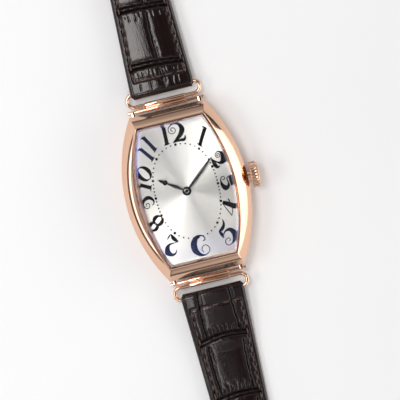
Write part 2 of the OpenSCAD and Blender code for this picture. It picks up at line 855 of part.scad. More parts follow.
module buckle_frame() {
    out_w = buckle_in_w + 2 * buckle_side;
    reach = buckle_window_y + buckle_window + buckle_bar;
    color(gold) translate([0, buckle_y, pin_z - buckle_t / 2]) difference() {
        union() {
            translate([-out_w / 2, 0, 0]) cube([out_w, reach - 1.5, buckle_t]);
            translate([-out_w / 2 + 1.5, reach - 3, 0]) cube([out_w - 3, 3, buckle_t]);
            for (s = [-1, 1]) {
                translate([s * (out_w / 2 - 1.5), reach - 1.5, 0]) cylinder(h = buckle_t, r = 1.5);
                rod_x(s * (out_w / 2 - buckle_side / 2) - buckle_side / 2,
                    s * (out_w / 2 - buckle_side / 2) + buckle_side / 2, buckle_t / 2, 0, buckle_t / 2);
            }
        }
        translate([-buckle_in_w / 2, -buckle_t, -past])
            cube([buckle_in_w, buckle_window_y + buckle_window + buckle_t, buckle_t + 2 * past]);
        rod_x(-pin_len / 2, pin_len / 2, pin_r + seat_gap, 0, buckle_t / 2);
    }
}

module buckle_pin() {
    color(steel) rod_x(-pin_len / 2 + 0.05, pin_len / 2 - 0.05, pin_r, buckle_y, pin_z);
}

module buckle_tongue() {
    over_z = pin_z + buckle_t / 2 + 0.05;
    reach = buckle_window_y + buckle_window + buckle_bar - 0.2;
    eye_r = pin_r + run_gap + 0.45;
    color(gold) translate([-tongue_w / 2, buckle_y, 0]) rotate([90, 0, 90])
        linear_extrude(tongue_w) difference() {
        union() {
            translate([0, pin_z]) circle(r = eye_r);
            polygon([
                [0, pin_z + 0.1], [eye_r * 0.6, pin_z - 0.2], [buckle_window_y, over_z],
                [reach, over_z], [reach, over_z + tongue_t * 0.7], [buckle_window_y, over_z + tongue_t],
                [0, pin_z + eye_r]
            ]);
        }
        translate([0, pin_z]) circle(r = pin_r + run_gap);
    }
}

// Movement: plates and bridges

module movement_ring() {
    color(steel) difference() {
        slab(inset_outline(cavity_outline, ring_gap), back_t + 0.02, middle_h - 0.02);
        disc([0, 0], 0, dial_z + 1, plate_r + run_gap);
        disc([0, 0], plate_top - 0.25, dial_z, plate_r + plate_lip + run_gap);
        rod_x(0, case_w, tube_r + 0.1, 0, crown_z);
    }
}

module screw_holes(places) {
    for (p = places) disc(p, bridge_z - past, plate_z - bridge_z + screw_bite + past, screw_r + seat_gap);
}

module main_plate() {
    channel_x = slider_x - slider_shift - 0.1;
    color(brass) difference() {
        union() {
            disc([0, 0], plate_z, plate_t, plate_r);
            disc([0, 0], plate_top - 0.25, 0.25, plate_r + plate_lip);
            difference() {
                disc([0, 0], train_z + 0.1, train_h, plate_r);
                disc([0, 0], train_z, train_h, plate_r - rim_w);
            }
            disc(crown_wheel_xy, winding_z, plate_z - winding_z + 0.1, 0.25);
            disc(minute_xy, plate_top - 0.1, 0.7, 0.15);
            disc(setting_xy, plate_top - 0.1, 0.5, 0.15);
            disc(lever_xy, plate_top - 0.1, 0.4, 0.3);
        }
        translate([channel_x, -1.4, plate_z - past])
            cube([plate_r - rim_w - channel_x, 2.8, plate_t + 1]);
        rod_x(slider_x, plate_r + 1, tube_bore_r, 0, crown_z);
        disc([0, 0], plate_z - past, plate_t + 1, centre_arbor_r + run_gap);
        for (p = concat(train_jewels, [pallet_xy, balance_xy]))
            disc(p, plate_z - past, jewel_t + past, jewel_r + seat_gap);
        disc(barrel_xy, plate_z - past, 0.5, 0.4 + run_gap);
        for (p = dial_feet) disc(p, plate_z - past, plate_t + 1, dial_foot_r + run_gap);
        screw_holes(concat(barrel_pillars, train_pillars, [cock_foot]));
    }
}

module cock_outline(grow) {
    translate(balance_xy) circle(r = cock_r + grow);
    translate(cock_foot) circle(r = cock_r + grow);
    bar(balance_xy, cock_foot, 2 * (0.9 + grow));
}

module bridge_clearance() {
    foot_base = cock_foot[1] - cock_r - 0.3;
    translate([-plate_r, foot_base]) square([plate_r + cock_foot[0], -foot_base]);
    translate(balance_xy) circle(r = balance_r + 0.4);
    translate(crown_wheel_xy) circle(r = crown_skirt_r + 0.25);
    cock_outline(0.3);
}

crown_skirt_r = pinion_x + pinion_len / 2 - crown_wheel_xy[0] + 0.15;
bridge_edge_r = plate_r - rim_w - 0.2;
bridge_split_y = -1.4;

module bridge_plate(above) {
    difference() {
        intersection() {
            circle(r = bridge_edge_r);
            translate([-plate_r, above ? bridge_split_y + 0.1 : -2 * plate_r + bridge_split_y - 0.1])
                square([2 * plate_r, 2 * plate_r]);
        }
        bridge_clearance();
    }
}

module pillars(places) {
    for (p = places) disc(p, bridge_z, plate_z - bridge_z, pillar_r);
}

module barrel_bridge() {
    color(steel) difference() {
        union() {
            translate([0, 0, bridge_z]) linear_extrude(bridge_t) bridge_plate(true);
            pillars(barrel_pillars);
            disc(click_xy, winding_z, bridge_z - winding_z + 0.1, 0.3);
        }
        disc([0, 0], bridge_z - past, 1, centre_arbor_r + run_gap);
        disc(barrel_xy, bridge_z - past, 1, 0.6 + run_gap);
        screw_holes(barrel_pillars);
    }
}

module train_bridge() {
    color(steel) difference() {
        union() {
            translate([0, 0, bridge_z]) linear_extrude(bridge_t) bridge_plate(false);
            pillars(train_pillars);
        }
        for (p = train_jewels) disc(p, train_z - jewel_t, jewel_t + past, jewel_r + seat_gap);
        screw_holes(train_pillars);
    }
}

module balance_cock() {
    color(steel) difference() {
        union() {
            translate([0, 0, bridge_z]) linear_extrude(bridge_t) cock_outline(0);
            disc(cock_foot, bridge_z, plate_z - bridge_z, cock_r);
            disc(stud_xy, train_z - 0.2, 0.35, 0.15);
            translate([0, 0, bridge_z]) linear_extrude(bridge_t) bar(balance_xy, stud_xy, 0.6);
        }
        disc(balance_xy, train_z - jewel_t, jewel_t + past, jewel_r + seat_gap);
        screw_holes([cock_foot]);
    }
}

module pallet_bridge() {
    color(steel) difference() {
        union() {
            translate([0, 0, pallet_bridge_z]) linear_extrude(pallet_bridge_t)
                for (p = pallet_feet) bar(pallet_xy, p, 0.7);
            for (p = pallet_feet) disc(p, pallet_bridge_z, plate_z - pallet_bridge_z, pallet_foot_r);
        }
        disc(pallet_xy, pallet_bridge_z - past, 1, jewel_bore_r);
    }
}

module bridge_screws() {
    color(blued) for (p = concat(barrel_pillars, train_pillars, [cock_foot])) difference() {
        union() {
            disc(p, bridge_z - screw_head_t, screw_head_t, screw_head_r);
            disc(p, bridge_z - screw_head_t, plate_z - bridge_z + screw_head_t + 0.4, screw_r);
        }
        translate([p[0] - screw_head_r, p[1] - 0.08, bridge_z - screw_head_t - past])
            cube([2 * screw_head_r, 0.16, past + 0.12]);
    }
}

module jewel(xy, z) {
    difference() {
        disc(xy, z, jewel_t, jewel_r);
        disc(xy, z - past, jewel_t + 2 * past, jewel_bore_r);
    }
}

module jewels() {
    color([0.75, 0.08, 0.2]) {
        for (p = concat(train_jewels, [balance_xy])) jewel(p, train_z - jewel_t);
        for (p = concat(train_jewels, [pallet_xy, balance_xy])) jewel(p, plate_z);
    }
}

// Movement: barrel and winding

module barrel() {
    drum_r = barrel_teeth * barrel_module / 2 - 0.35;
    color(brass) difference() {
        union() {
            gear(barrel_xy, train_z + 0.05, 0.25, barrel_teeth, barrel_module, bearing(barrel_xy, [0, 0]));
            disc(barrel_xy, train_z + 0.05, barrel_h, drum_r);
        }
        disc(barrel_xy, train_z + 0.17, barrel_h - 0.24, drum_r - 0.3);
        disc(barrel_xy, train_z - past, 2, 0.6 + run_gap);
    }
}

module barrel_arbor() {
    color(steel) {
        disc(barrel_xy, winding_z + winding_t, barrel_h + train_z - winding_z - winding_t + 0.1, 0.6);
        disc(barrel_xy, train_z + 0.22, barrel_h - 0.34, 1);
        disc(barrel_xy, winding_z + winding_t, plate_z - winding_z - winding_t + 0.3, 0.4);
    }
}

module mainspring() {
    drum_r = barrel_teeth * barrel_module / 2 - 0.35;
    color(steel) translate([barrel_xy[0], barrel_xy[1], train_z + 0.24]) linear_extrude(barrel_h - 0.38)
        spiral(1.05, drum_r - 0.5, 5, 0.15);
}

module ratchet_wheel() {
    toward = bearing(barrel_xy, crown_wheel_xy);
    color(steel) gear(barrel_xy, winding_z, winding_t, ratchet_teeth, winding_module, toward);
}

module crown_wheel() {
    toward = bearing(crown_wheel_xy, barrel_xy) + 180 / crown_wheel_teeth;
    skirt_top = crown_z - pinion_r + 0.1;
    color(steel) difference() {
        union() {
            gear(crown_wheel_xy, winding_z, winding_t, crown_wheel_teeth, winding_module, toward);
            difference() {
                disc(crown_wheel_xy, winding_z, skirt_top - 0.2 - winding_z, crown_skirt_r);
                disc(crown_wheel_xy, winding_z + winding_t, 2, crown_skirt_r - 0.3);
            }
            for (i = [0:23])
                translate([crown_wheel_xy[0], crown_wheel_xy[1], winding_z]) rotate((i + 0.5) * 15)
                    translate([crown_skirt_r - 0.29, -0.12, 0.1])
                        cube([0.27, 0.24, skirt_top - winding_z - 0.1]);
        }
        disc(crown_wheel_xy, winding_z - past, 1, 0.25 + run_gap);
    }
}

module click() {
    tip = barrel_xy + polar(ratchet_pitch_r + winding_module + 0.08, 146);
    color(steel) translate([0, 0, winding_z]) linear_extrude(winding_t) difference() {
        union() {
            translate(click_xy) circle(r = 0.65);
            polygon([tip, click_xy + polar(0.6, 60), click_xy + polar(0.6, 250)]);
        }
        translate(click_xy) circle(r = 0.3 + run_gap);
    }
}

// Movement: going train

module centre_wheel() {
    color(brass) {
        spoked_gear([0, 0], centre_z, centre_t, centre_teeth, centre_module,
            bearing([0, 0], third_xy), 0.8, 5);
        gear([0, 0], train_z + 0.05, centre_z - train_z, centre_leaves, barrel_module,
            bearing([0, 0], barrel_xy) + 180 / centre_leaves);
        disc([0, 0], bridge_z, minute_hand_z + hand_t - bridge_z, centre_arbor_r);
    }
}

module third_wheel() {
    color(brass) {
        spoked_gear(third_xy, third_z, wheel_t, third_teeth, third_module,
            bearing(third_xy, fourth_xy), 0.6, 5);
        gear(third_xy, third_z, centre_z + centre_t - third_z + 0.05, train_leaves, centre_module,
            bearing(third_xy, [0, 0]) + 180 / train_leaves);
        arbor(third_xy);
    }
}

module fourth_wheel() {
    color(brass) {
        spoked_gear(fourth_xy, fourth_z, wheel_t, fourth_teeth, fourth_module,
            bearing(fourth_xy, escape_xy), 0.55, 5);
        gear(fourth_xy, fourth_z, third_z + wheel_t - fourth_z + 0.05, train_leaves, third_module,
            bearing(fourth_xy, third_xy) + 180 / train_leaves);
        arbor(fourth_xy);
    }
}

module escape_wheel() {
    step = 360 / escape_teeth;
    root_r = escape_r * 0.8;
    color(steel) {
        translate([escape_xy[0], escape_xy[1], escape_z]) linear_extrude(escape_t) {
            difference() {
                polygon([for (i = [0:escape_teeth - 1]) each [
                    polar(root_r, i * step), polar(escape_r, (i + 0.62) * step),
                    polar(escape_r, (i + 0.78) * step), polar(root_r, (i + 0.8) * step)]]);
                circle(r = root_r - 0.3);
            }
            circle(r = 0.45);
            for (i = [0:4]) rotate(i * 72) translate([0, -0.13]) square([root_r - 0.2, 0.26]);
        }
        gear(escape_xy, fourth_z - 0.03, escape_z - fourth_z + 0.05, escape_leaves, fourth_module,
            bearing(escape_xy, fourth_xy) + 180 / escape_leaves);
        arbor(escape_xy);
    }
}

module pallet_fork() {
    stone_r = escape_r + 0.35;
    back = bearing(escape_xy, pallet_xy);
    to_balance = bearing(pallet_xy, balance_xy);
    fork_len = balance_reach - 0.56;
    color(steel) {
        translate([0, 0, escape_z - 0.02]) linear_extrude(0.12) {
            for (s = [-1, 1]) bar(pallet_xy, escape_xy + polar(stone_r, back + s * 40), 0.3);
            difference() {
                bar(pallet_xy, pallet_xy + polar(fork_len - 0.25, to_balance), 0.5);
                translate(pallet_xy + polar(fork_len, to_balance)) circle(r = 0.3);
            }
        }
        color([0.75, 0.08, 0.2]) for (s = [-1, 1])
            translate([escape_xy[0], escape_xy[1], escape_z - 0.02]) rotate(back + s * 40)
                translate([stone_r - 0.2, -0.1, 0]) cube([0.3, 0.2, 0.12]);
        disc(pallet_xy, pallet_bridge_z + pallet_bridge_t + 0.02,
            plate_z - pallet_bridge_z - pallet_bridge_t - 0.04, 0.15);
        disc(pallet_xy, pallet_bridge_z, plate_z - pallet_bridge_z + pivot_len, pivot_r);
    }
}

module balance_wheel() {
    color(brass) {
        translate([balance_xy[0], balance_xy[1], balance_z]) linear_extrude(balance_t) {
            difference() {
                circle(r = balance_r);
                circle(r = balance_r - 0.4);
            }
            circle(r = 0.5);
            for (a = [45, 135]) rotate(a) square([2 * balance_r - 0.6, 0.4], center = true);
        }
        disc(balance_xy, pallet_bridge_z, 0.1, 0.55);
        disc(balance_xy + polar(0.42, bearing(balance_xy, pallet_xy)), pallet_bridge_z,
            escape_z + 0.08 - pallet_bridge_z, 0.08);
        arbor(balance_xy);
    }
}

module hairspring() {
    color(blued) translate([balance_xy[0], balance_xy[1], train_z + 0.05]) linear_extrude(0.06)
        spiral(0.3, hairspring_r, 5, 0.06);
}

// Movement: motion work and keyless works

module cannon_pinion() {
    color(steel) difference() {
        union() {
            gear([0, 0], cannon_z, cannon_leaf_h, cannon_leaves, motion_module, 180 / cannon_leaves);
            disc([0, 0], cannon_z, minute_hand_z + hand_t - cannon_z, cannon_r);
        }
        disc([0, 0], 0, crystal_z, cannon_bore_r);
    }
}

module minute_wheel() {
    color(brass) difference() {
        union() {
            gear(minute_xy, minute_z, 0.15, minute_teeth, motion_module, 0);
            gear(minute_xy, minute_z, hour_z + 0.2 - minute_z, minute_leaves, hour_module,
                180 / minute_leaves + 180);
        }
        disc(minute_xy, 0, crystal_z, 0.15 + run_gap);
    }
}

module hour_wheel() {
    color(brass) difference() {
        union() {
            gear([0, 0], hour_z, 0.15, hour_teeth, hour_module, 0);
            disc([0, 0], hour_z, hour_hand_z + hand_t - hour_z, hour_pipe_r);
        }
        disc([0, 0], 0, crystal_z, hour_bore_r);
    }
}

module setting_wheel() {
    color(steel) difference() {
        gear(setting_xy, minute_z, 0.15, setting_teeth, motion_module, 180 + 180 / setting_teeth);
        disc(setting_xy, 0, crystal_z, 0.15 + run_gap);
    }
}

// Pinion on the stem with twelve leaves
module stem_pinion(x, length, r) {
    leaves = 12;
    color(steel) translate([x, 0, crown_z]) rotate([0, 90, 0]) linear_extrude(length)
        polygon(gear_points(leaves, 2 * r / (leaves + 2)));
}

module winding_pinion() {
    color(steel) difference() {
        stem_pinion(pinion_x, pinion_len, pinion_r);
        rod_x(pinion_x - 1, pinion_x + 2, stem_r + run_gap, 0, crown_z);
    }
}

module sliding_pinion() {
    color(steel) difference() {
        stem_pinion(slider_x, slider_len, slider_r);
        difference() {
            rod_x(slider_groove_x, slider_groove_x + slider_groove_w, 2, 0, crown_z);
            rod_x(slider_groove_x - past, slider_groove_x + slider_groove_w + past,
                slider_r * 0.68, 0, crown_z);
        }
        rod_x(slider_x - 1, slider_x + 2, stem_r + run_gap, 0, crown_z);
    }
}

module setting_lever() {
    finger = [lever_xy[0], 0];
    color(steel) difference() {
        union() {
            translate([0, 0, lever_z]) linear_extrude(lever_t) {
                bar(lever_xy, finger, 0.5);
                translate(lever_xy) circle(r = 0.6);
            }
            disc(finger, crown_z + stem_r - 0.1, lever_z - crown_z - stem_r + 0.2, 0.13);
        }
        disc(lever_xy, lever_z - past, 1, 0.3 + run_gap);
    }
}

module yoke() {
    finger = [slider_groove_x + slider_groove_w / 2, 0];
    color(steel) translate([0, 0, lever_z]) linear_extrude(lever_t) {
        bar([finger[0], -3.6], finger, 0.26);
        bar([finger[0], -3.6], [finger[0] - 2.4, -4.4], 0.6);
    }
}

case_middle();
bezel();
crystal();
crystal_gasket();
case_back();
back_gasket();
back_screws();
flange_ring();
dial();
hour_hand();
minute_hand();
crown();
crown_gasket();
crown_tube();
winding_stem();
lug_bar(1);  // upper_lug_bar
lug_bar(-1);  // lower_lug_bar
lug_link(1);  // upper_lug_link
lug_link(-1);  // lower_lug_link
wire_loop(1);  // upper_wire_loop
wire_loop(-1);  // lower_wire_loop
upper_strap();
upper_lining();
lower_strap();
lower_lining();
fixed_keeper();
free_keeper();
buckle_frame();
buckle_pin();
buckle_tongue();
movement_ring();
main_plate();
barrel_bridge();
train_bridge();
balance_cock();
pallet_bridge();
bridge_screws();
jewels();
barrel();
barrel_arbor();
mainspring();
ratchet_wheel();
crown_wheel();
click();
centre_wheel();
third_wheel();
fourth_wheel();
escape_wheel();
pallet_fork();
balance_wheel();
hairspring();
cannon_pinion();
minute_wheel();
hour_wheel();
setting_wheel();
winding_pinion();
sliding_pinion();
setting_lever();
yoke();
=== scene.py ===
"""Looks of a tonneau wristwatch on a leather strap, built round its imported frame.

Lengths inside the classes are millimetres in the frame's axes: X to the crown, Y to twelve o'clock,
Z out of the dial, from the middle of the back's outer face. new_mesh() turns them into metres.
"""

import logging
import math
from dataclasses import dataclass
from enum import Enum

import bpy
import numpy as np
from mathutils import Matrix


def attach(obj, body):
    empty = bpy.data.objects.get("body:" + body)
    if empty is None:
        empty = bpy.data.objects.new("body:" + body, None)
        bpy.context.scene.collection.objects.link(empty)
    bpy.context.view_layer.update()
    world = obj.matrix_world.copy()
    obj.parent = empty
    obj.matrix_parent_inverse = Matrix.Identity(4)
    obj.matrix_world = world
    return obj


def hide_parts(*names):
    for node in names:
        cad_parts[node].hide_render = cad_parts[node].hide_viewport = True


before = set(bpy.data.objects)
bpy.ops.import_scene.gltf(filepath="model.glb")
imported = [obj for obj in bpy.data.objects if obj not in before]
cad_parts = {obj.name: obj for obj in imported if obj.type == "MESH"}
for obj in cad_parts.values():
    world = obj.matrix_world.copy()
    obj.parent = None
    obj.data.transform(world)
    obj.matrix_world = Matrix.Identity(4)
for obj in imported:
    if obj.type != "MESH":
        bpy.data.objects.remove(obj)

MM = 0.001
TURN = 2 * math.pi
Socket = bpy.types.NodeSocket
log = logging.getLogger("watch")


# Shells: closed surfaces made of whole arrays of points and faces


@dataclass(frozen=True)
class Shell:
    """A closed surface: points as an (n, 3) array in millimetres and arrays of faces that index them."""

    points: np.ndarray
    faces: tuple[np.ndarray, ...]

    def outward(self) -> "Shell":
        """Turns the faces outwards.

        The enclosed volume is a sixth of the sum, over the triangles of every face, of the triple product
        of their corners. Where it is negative, each face is read backwards.

        Returns:
            The shell itself, or a copy with its faces reversed.
        """
        p = self.points - self.points.mean(0)
        volume = sum(
            np.einsum("ij,ij->", p[f[:, 0]], np.cross(p[f[:, i]], p[f[:, i + 1]]))
            for f in self.faces
            for i in range(1, f.shape[1] - 1)
        )
        return self if volume > 0 else Shell(self.points, tuple(f[:, ::-1] for f in self.faces))

    def moved(self, by: tuple[float, float, float]) -> "Shell":
        """Returns the shell shifted by a vector."""
        return Shell(self.points + np.array(by, float), self.faces)

    def scaled(self, by: tuple[float, float, float]) -> "Shell":
        """Returns the shell scaled along the axes, with its faces turned outwards again."""
        return Shell(self.points * np.array(by, float), self.faces).outward()

    def turned(self, degrees: float, axis: int = 2) -> "Shell":
        """Returns the shell turned about an axis of the frame by the right-hand rule."""
        return Shell(self.points @ turn_matrix(degrees, axis).T, self.faces)


def turn_matrix(degrees: float, axis: int) -> np.ndarray:
    """Makes the matrix of a right-hand turn.

    Args:
        degrees: the angle.
        axis: 0, 1 or 2 for X, Y or Z.

    Returns:
        The 3 by 3 matrix.
    """
    c, s = math.cos(math.radians(degrees)), math.sin(math.radians(degrees))
    a, b = [(1, 2), (2, 0), (0, 1)][axis]
    m = np.eye(3)
    m[a, a], m[a, b], m[b, a], m[b, b] = c, -s, s, c
    return m


def surface(x: np.ndarray, y: np.ndarray, z: np.ndarray | float) -> np.ndarray:
    """Returns points from their three coordinates, which are first spread to one common shape."""
    return np.stack(np.broadcast_arrays(x, y, z), -1)


def at_height(flat: np.ndarray, height: np.ndarray | float) -> np.ndarray:
    """Returns flat (n, 2) points as (n, 3), all at one height or each at its own."""
    return surface(flat[:, 0], flat[:, 1], height)


def join(shells: list[Shell]) -> Shell:
    """Joins shells into one.

    Args:
        shells: closed shells, each of which is turned outwards first.

    Returns:
        One shell with all their points and faces.
    """
    solid = [s.outward() for s in shells]
    starts = np.cumsum([0] + [len(s.points) for s in solid])
    faces = tuple(f + start for s, start in zip(solid, starts) for f in s.faces)
    return Shell(np.concatenate([s.points for s in solid]), faces)


def grid(points: np.ndarray, wrap_rows: bool = False) -> Shell:
    """Makes a closed shell from a grid of points whose rows are closed rings.

    Each cell between neighbouring rows and columns is one four-sided face. Rows that don't wrap are closed
    by a fan of triangles from the mean point of the first row, and of the last.

    Args:
        points: an array of (rows, columns, 3).
        wrap_rows: True if the last row joins the first.

    Returns:
        The shell, with its faces outwards.
    """
    rows, columns = points.shape[:2]
    index = np.arange(rows * columns).reshape(rows, columns)
    index = np.column_stack([index, index[:, 0]])
    if wrap_rows:
        index = np.vstack([index, index[0]])
    quads = np.stack([index[:-1, :-1], index[1:, :-1], index[1:, 1:], index[:-1, 1:]], -1).reshape(-1, 4)
    flat = points.reshape(-1, 3)
    if wrap_rows:
        return Shell(flat, (quads,)).outward()
    first, last = index[0], index[-1]
    n = len(flat)
    start = np.column_stack([first[:-1], first[1:], np.full(len(first) - 1, n)])
    end = np.column_stack([last[1:], last[:-1], np.full(len(last) - 1, n + 1)])
    flat = np.vstack([flat, points[0].mean(0), points[-1].mean(0)])
    return Shell(flat, (quads, np.vstack([start, end]))).outward()


def quarter_turn(n: int) -> np.ndarray:
    """Returns n even angles from 0 to a quarter turn."""
    return np.linspace(0, math.pi / 2, n)


def half_turn(n: int) -> np.ndarray:
    """Returns n even angles from a quarter turn back to a quarter turn on."""
    return np.linspace(-math.pi / 2, math.pi / 2, n)


def circle(n: int) -> np.ndarray:
    """Returns n points of the unit circle as (n, 2), cosine and sine of equal steps of a turn."""
    a = TURN * np.arange(n) / n
    return np.column_stack([np.cos(a), np.sin(a)])


def rounded_box(width: float, height: float, radius: float, steps: int = 5) -> np.ndarray:
    """Draws a rectangle with round corners.

    Each corner is a quarter circle of the radius about a centre that lies the radius inside both sides.

    Args:
        width: size along the first axis.
        height: size along the second.
        radius: radius of the corners.
        steps: steps round each corner.

    Returns:
        The outline as (4 * (steps + 1), 2), anticlockwise.
    """
    quarter = quarter_turn(steps + 1)
    angle = quarter[None, :] + math.pi / 2 * np.arange(4)[:, None]
    centre = np.array([[1, 1], [-1, 1], [-1, -1], [1, -1]]) * [width / 2 - radius, height / 2 - radius]
    arc = radius * np.stack([np.cos(angle), np.sin(angle)], -1)
    return (centre[:, None, :] + arc).reshape(-1, 2)


def sweep(path: np.ndarray, section: np.ndarray, up: tuple[float, float, float],
          closed: bool = False) -> Shell:
    """Carries a section along a path.

    At each point of the path the section's first axis is the path's direction crossed with up, and its
    second is that crossed with the direction, so that a flat path keeps its section upright.

    Args:
        path: (n, 3) points.
        section: (m, 2) outline, or (n, m, 2) where it changes along the path.
        up: a vector that the path never follows.
        closed: True if the path joins its own start.

    Returns:
        The closed shell.
    """
    if closed:
        along = np.roll(path, -1, 0) - np.roll(path, 1, 0)
    else:
        along = np.gradient(path, axis=0)
    along /= np.linalg.norm(along, axis=1)[:, None]
    side = np.cross(along, np.array(up, float))
    side /= np.linalg.norm(side, axis=1)[:, None]
    high = np.cross(side, along)
    shape = np.broadcast_to(section, (len(path),) + section.shape[-2:])
    points = path[:, None, :] + shape[..., :1] * side[:, None, :] + shape[..., 1:] * high[:, None, :]
    return grid(points, wrap_rows=closed)


def rod(start: tuple[float, float, float], end: tuple[float, float, float], radius: float,
        edge: float = 0.08, sides: int = 32) -> Shell:
    """Makes a straight round rod whose end edges are rounded.

    The radius grows from the radius less the edge by a quarter circle of the edge at each end.

    Args:
        start: centre of one end.
        end: centre of the other.
        radius: radius of the rod.
        edge: radius of the rounding.
        sides: points round the rod.

    Returns:
        The closed shell.
    """
    a, b = np.array(start, float), np.array(end, float)
    length = np.linalg.norm(b - a)
    t = quarter_turn(5)
    place = np.concatenate([edge * (1 - np.cos(t)), length - edge * (1 - np.cos(t[::-1]))])
    thick = np.concatenate([radius - edge + edge * np.sin(t), radius - edge + edge * np.sin(t[::-1])])
    path = a + (b - a) / length * place[:, None]
    up = (0.0, 0.0, 1.0) if abs((b - a)[2]) < 0.9 * length else (0.0, 1.0, 0.0)
    return sweep(path, circle(sides)[None] * thick[:, None, None], up)


def lathe(profile: np.ndarray, sides: int = 64) -> Shell:
    """Turns a closed profile about the Z axis: each of its points makes one circle.

    Args:
        profile: (n, 2) points, radius and height.
        sides: points round each circle.

    Returns:
        The closed shell.
    """
    x, y = circle(sides).T
    radius, height = profile[:, :1], profile[:, 1:]
    return grid(surface(radius * x, radius * y, height), wrap_rows=True)


def slab(outline: np.ndarray, low: float, high: float, edge: float = 0.05) -> Shell:
    """Makes a flat plate with rounded edges from an outline about the origin.

    The outline is drawn towards its own inside by the edge at both faces: each point moves along the mean
    of its two neighbours' normals.

    Args:
        outline: (n, 2) points, anticlockwise.
        low: height of the lower face.
        high: height of the upper face.
        edge: radius of the rounding.

    Returns:
        The closed shell.
    """
    t = quarter_turn(4)
    inset = edge * (1 - np.sin(t))
    lift = edge * (1 - np.cos(t))
    insets = np.concatenate([inset, inset[::-1]])
    heights = np.concatenate([low + lift, high - lift[::-1]])
    ring = outline[None] - insets[:, None, None] * outline_normals(outline)[None]
    return grid(surface(ring[..., 0], ring[..., 1], heights[:, None]))


def outline_normals(outline: np.ndarray) -> np.ndarray:
    """Finds the normals of an outline, each square to the line between the point's two neighbours.

    Args:
        outline: (n, 2) points, anticlockwise.

    Returns:
        The outward unit normals, (n, 2).
    """
    along = np.roll(outline, -1, 0) - np.roll(outline, 1, 0)
    along /= np.linalg.norm(along, axis=1)[:, None]
    return np.column_stack([along[:, 1], -along[:, 0]])


def smooth_path(controls: np.ndarray, steps: int = 10) -> np.ndarray:
    """Draws a smooth line through control rows by the Catmull-Rom cubic.

    On each span the point is half of (2 P1 + (P2 - P0) t + (2 P0 - 5 P1 + 4 P2 - P3) t t
    + (3 P1 - P0 - 3 P2 + P3) t t t), with one more row set out straight past each end.

    Args:
        controls: (n, k) rows, such as x and y, or x, y and width.
        steps: points for each span.

    Returns:
        The line as ((n - 1) * steps + 1, k).
    """
    p = np.vstack([2 * controls[0] - controls[1], controls, 2 * controls[-1] - controls[-2]])
    t = np.linspace(0, 1, steps, endpoint=False)[None, :, None]
    p0, p1, p2, p3 = (p[i:len(p) - 3 + i, None, :] for i in range(4))
    line = 0.5 * (2 * p1 + (p2 - p0) * t + (2 * p0 - 5 * p1 + 4 * p2 - p3) * t * t
                  + (3 * p1 - p0 - 3 * p2 + p3) * t * t * t)
    return np.vstack([line.reshape(-1, controls.shape[1]), controls[-1]])


def rise(x: np.ndarray, low: float, high: float) -> np.ndarray:
    """Returns 0 below low and 1 above high, joined by the cubic 3 t t - 2 t t t."""
    t = np.clip((x - low) / (high - low), 0, 1)
    return t * t * (3 - 2 * t)


def scaled_sections(section: np.ndarray, width: np.ndarray, height: np.ndarray) -> np.ndarray:
    """Returns an (m, 2) section of size 1 as (n, m, 2), drawn to n widths and heights."""
    return section[None] * np.stack([width, height], -1)[:, None, :]


def there_and_back(half: np.ndarray, bar: np.ndarray, z: float) -> np.ndarray:
    """Returns a path at height z along a half, a bar across, and the half again, mirrored in X."""
    return at_height(np.vstack([half, bar, half[::-1] * [-1, 1]]), z)


def new_mesh(name: str, shell: Shell) -> bpy.types.Mesh:
    """Makes a mesh of a shell, turned from millimetres into metres.

    Args:
        name: the mesh's name.
        shell: its points and faces.

    Returns:
        The mesh, without a material.
    """
    mesh = bpy.data.meshes.new(name)
    faces = [face for block in shell.faces for face in block.tolist()]
    mesh.from_pydata((shell.points * MM).tolist(), [], faces)
    return mesh


def add_object(name: str, data: bpy.types.ID) -> bpy.types.Object:
    """Links a new object to the scene.

    Args:
        name: its name.
        data: its mesh, lamp or camera.

    Returns:
        The object, at the origin, unturned and unscaled.
    """
    thing = bpy.data.objects.new(name, data)
    bpy.context.scene.collection.objects.link(thing)
    return thing


def aim(thing: bpy.types.Object, axes: np.ndarray, place: np.ndarray) -> None:
    """Turns and moves a lamp or a camera.

    Args:
        thing: the lamp or camera.
        axes: 3 by 3, its own axes as columns.
        place: where it stands, in millimetres.
    """
    matrix = np.eye(4)
    matrix[:3, :3], matrix[:3, 3] = axes, place * MM
    thing.matrix_world = matrix.T.tolist()


def mesh_piece(name: str, shell: Shell, finish: bpy.types.Material, body: str, slot: str,
               stands_for: tuple[str, ...] = (), sharp: float = 35.0) -> bpy.types.Object:
    """Puts a shell into the scene as one piece that rides on a body.

    Args:
        name: the piece's name.
        shell: its surface, in millimetres.
        finish: its material.
        body: the body that it rides on.
        slot: a material slot's name; not used.
        stands_for: the nodes that it replaces.
        sharp: the angle in degrees over which an edge is drawn crisp.

    Returns:
        The object, at the origin, unturned and unscaled.
    """
    mesh = new_mesh(name, shell)
    mesh.shade_smooth()
    mesh.set_sharp_from_angle(angle=math.radians(sharp))
    mesh.materials.append(finish)
    piece = add_object(name, mesh)
    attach(piece, body)
    if stands_for:
        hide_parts(*stands_for)
    log.info("%s: %d points, %d faces, rides on %s", name, len(mesh.vertices), len(mesh.polygons), body)
    return piece


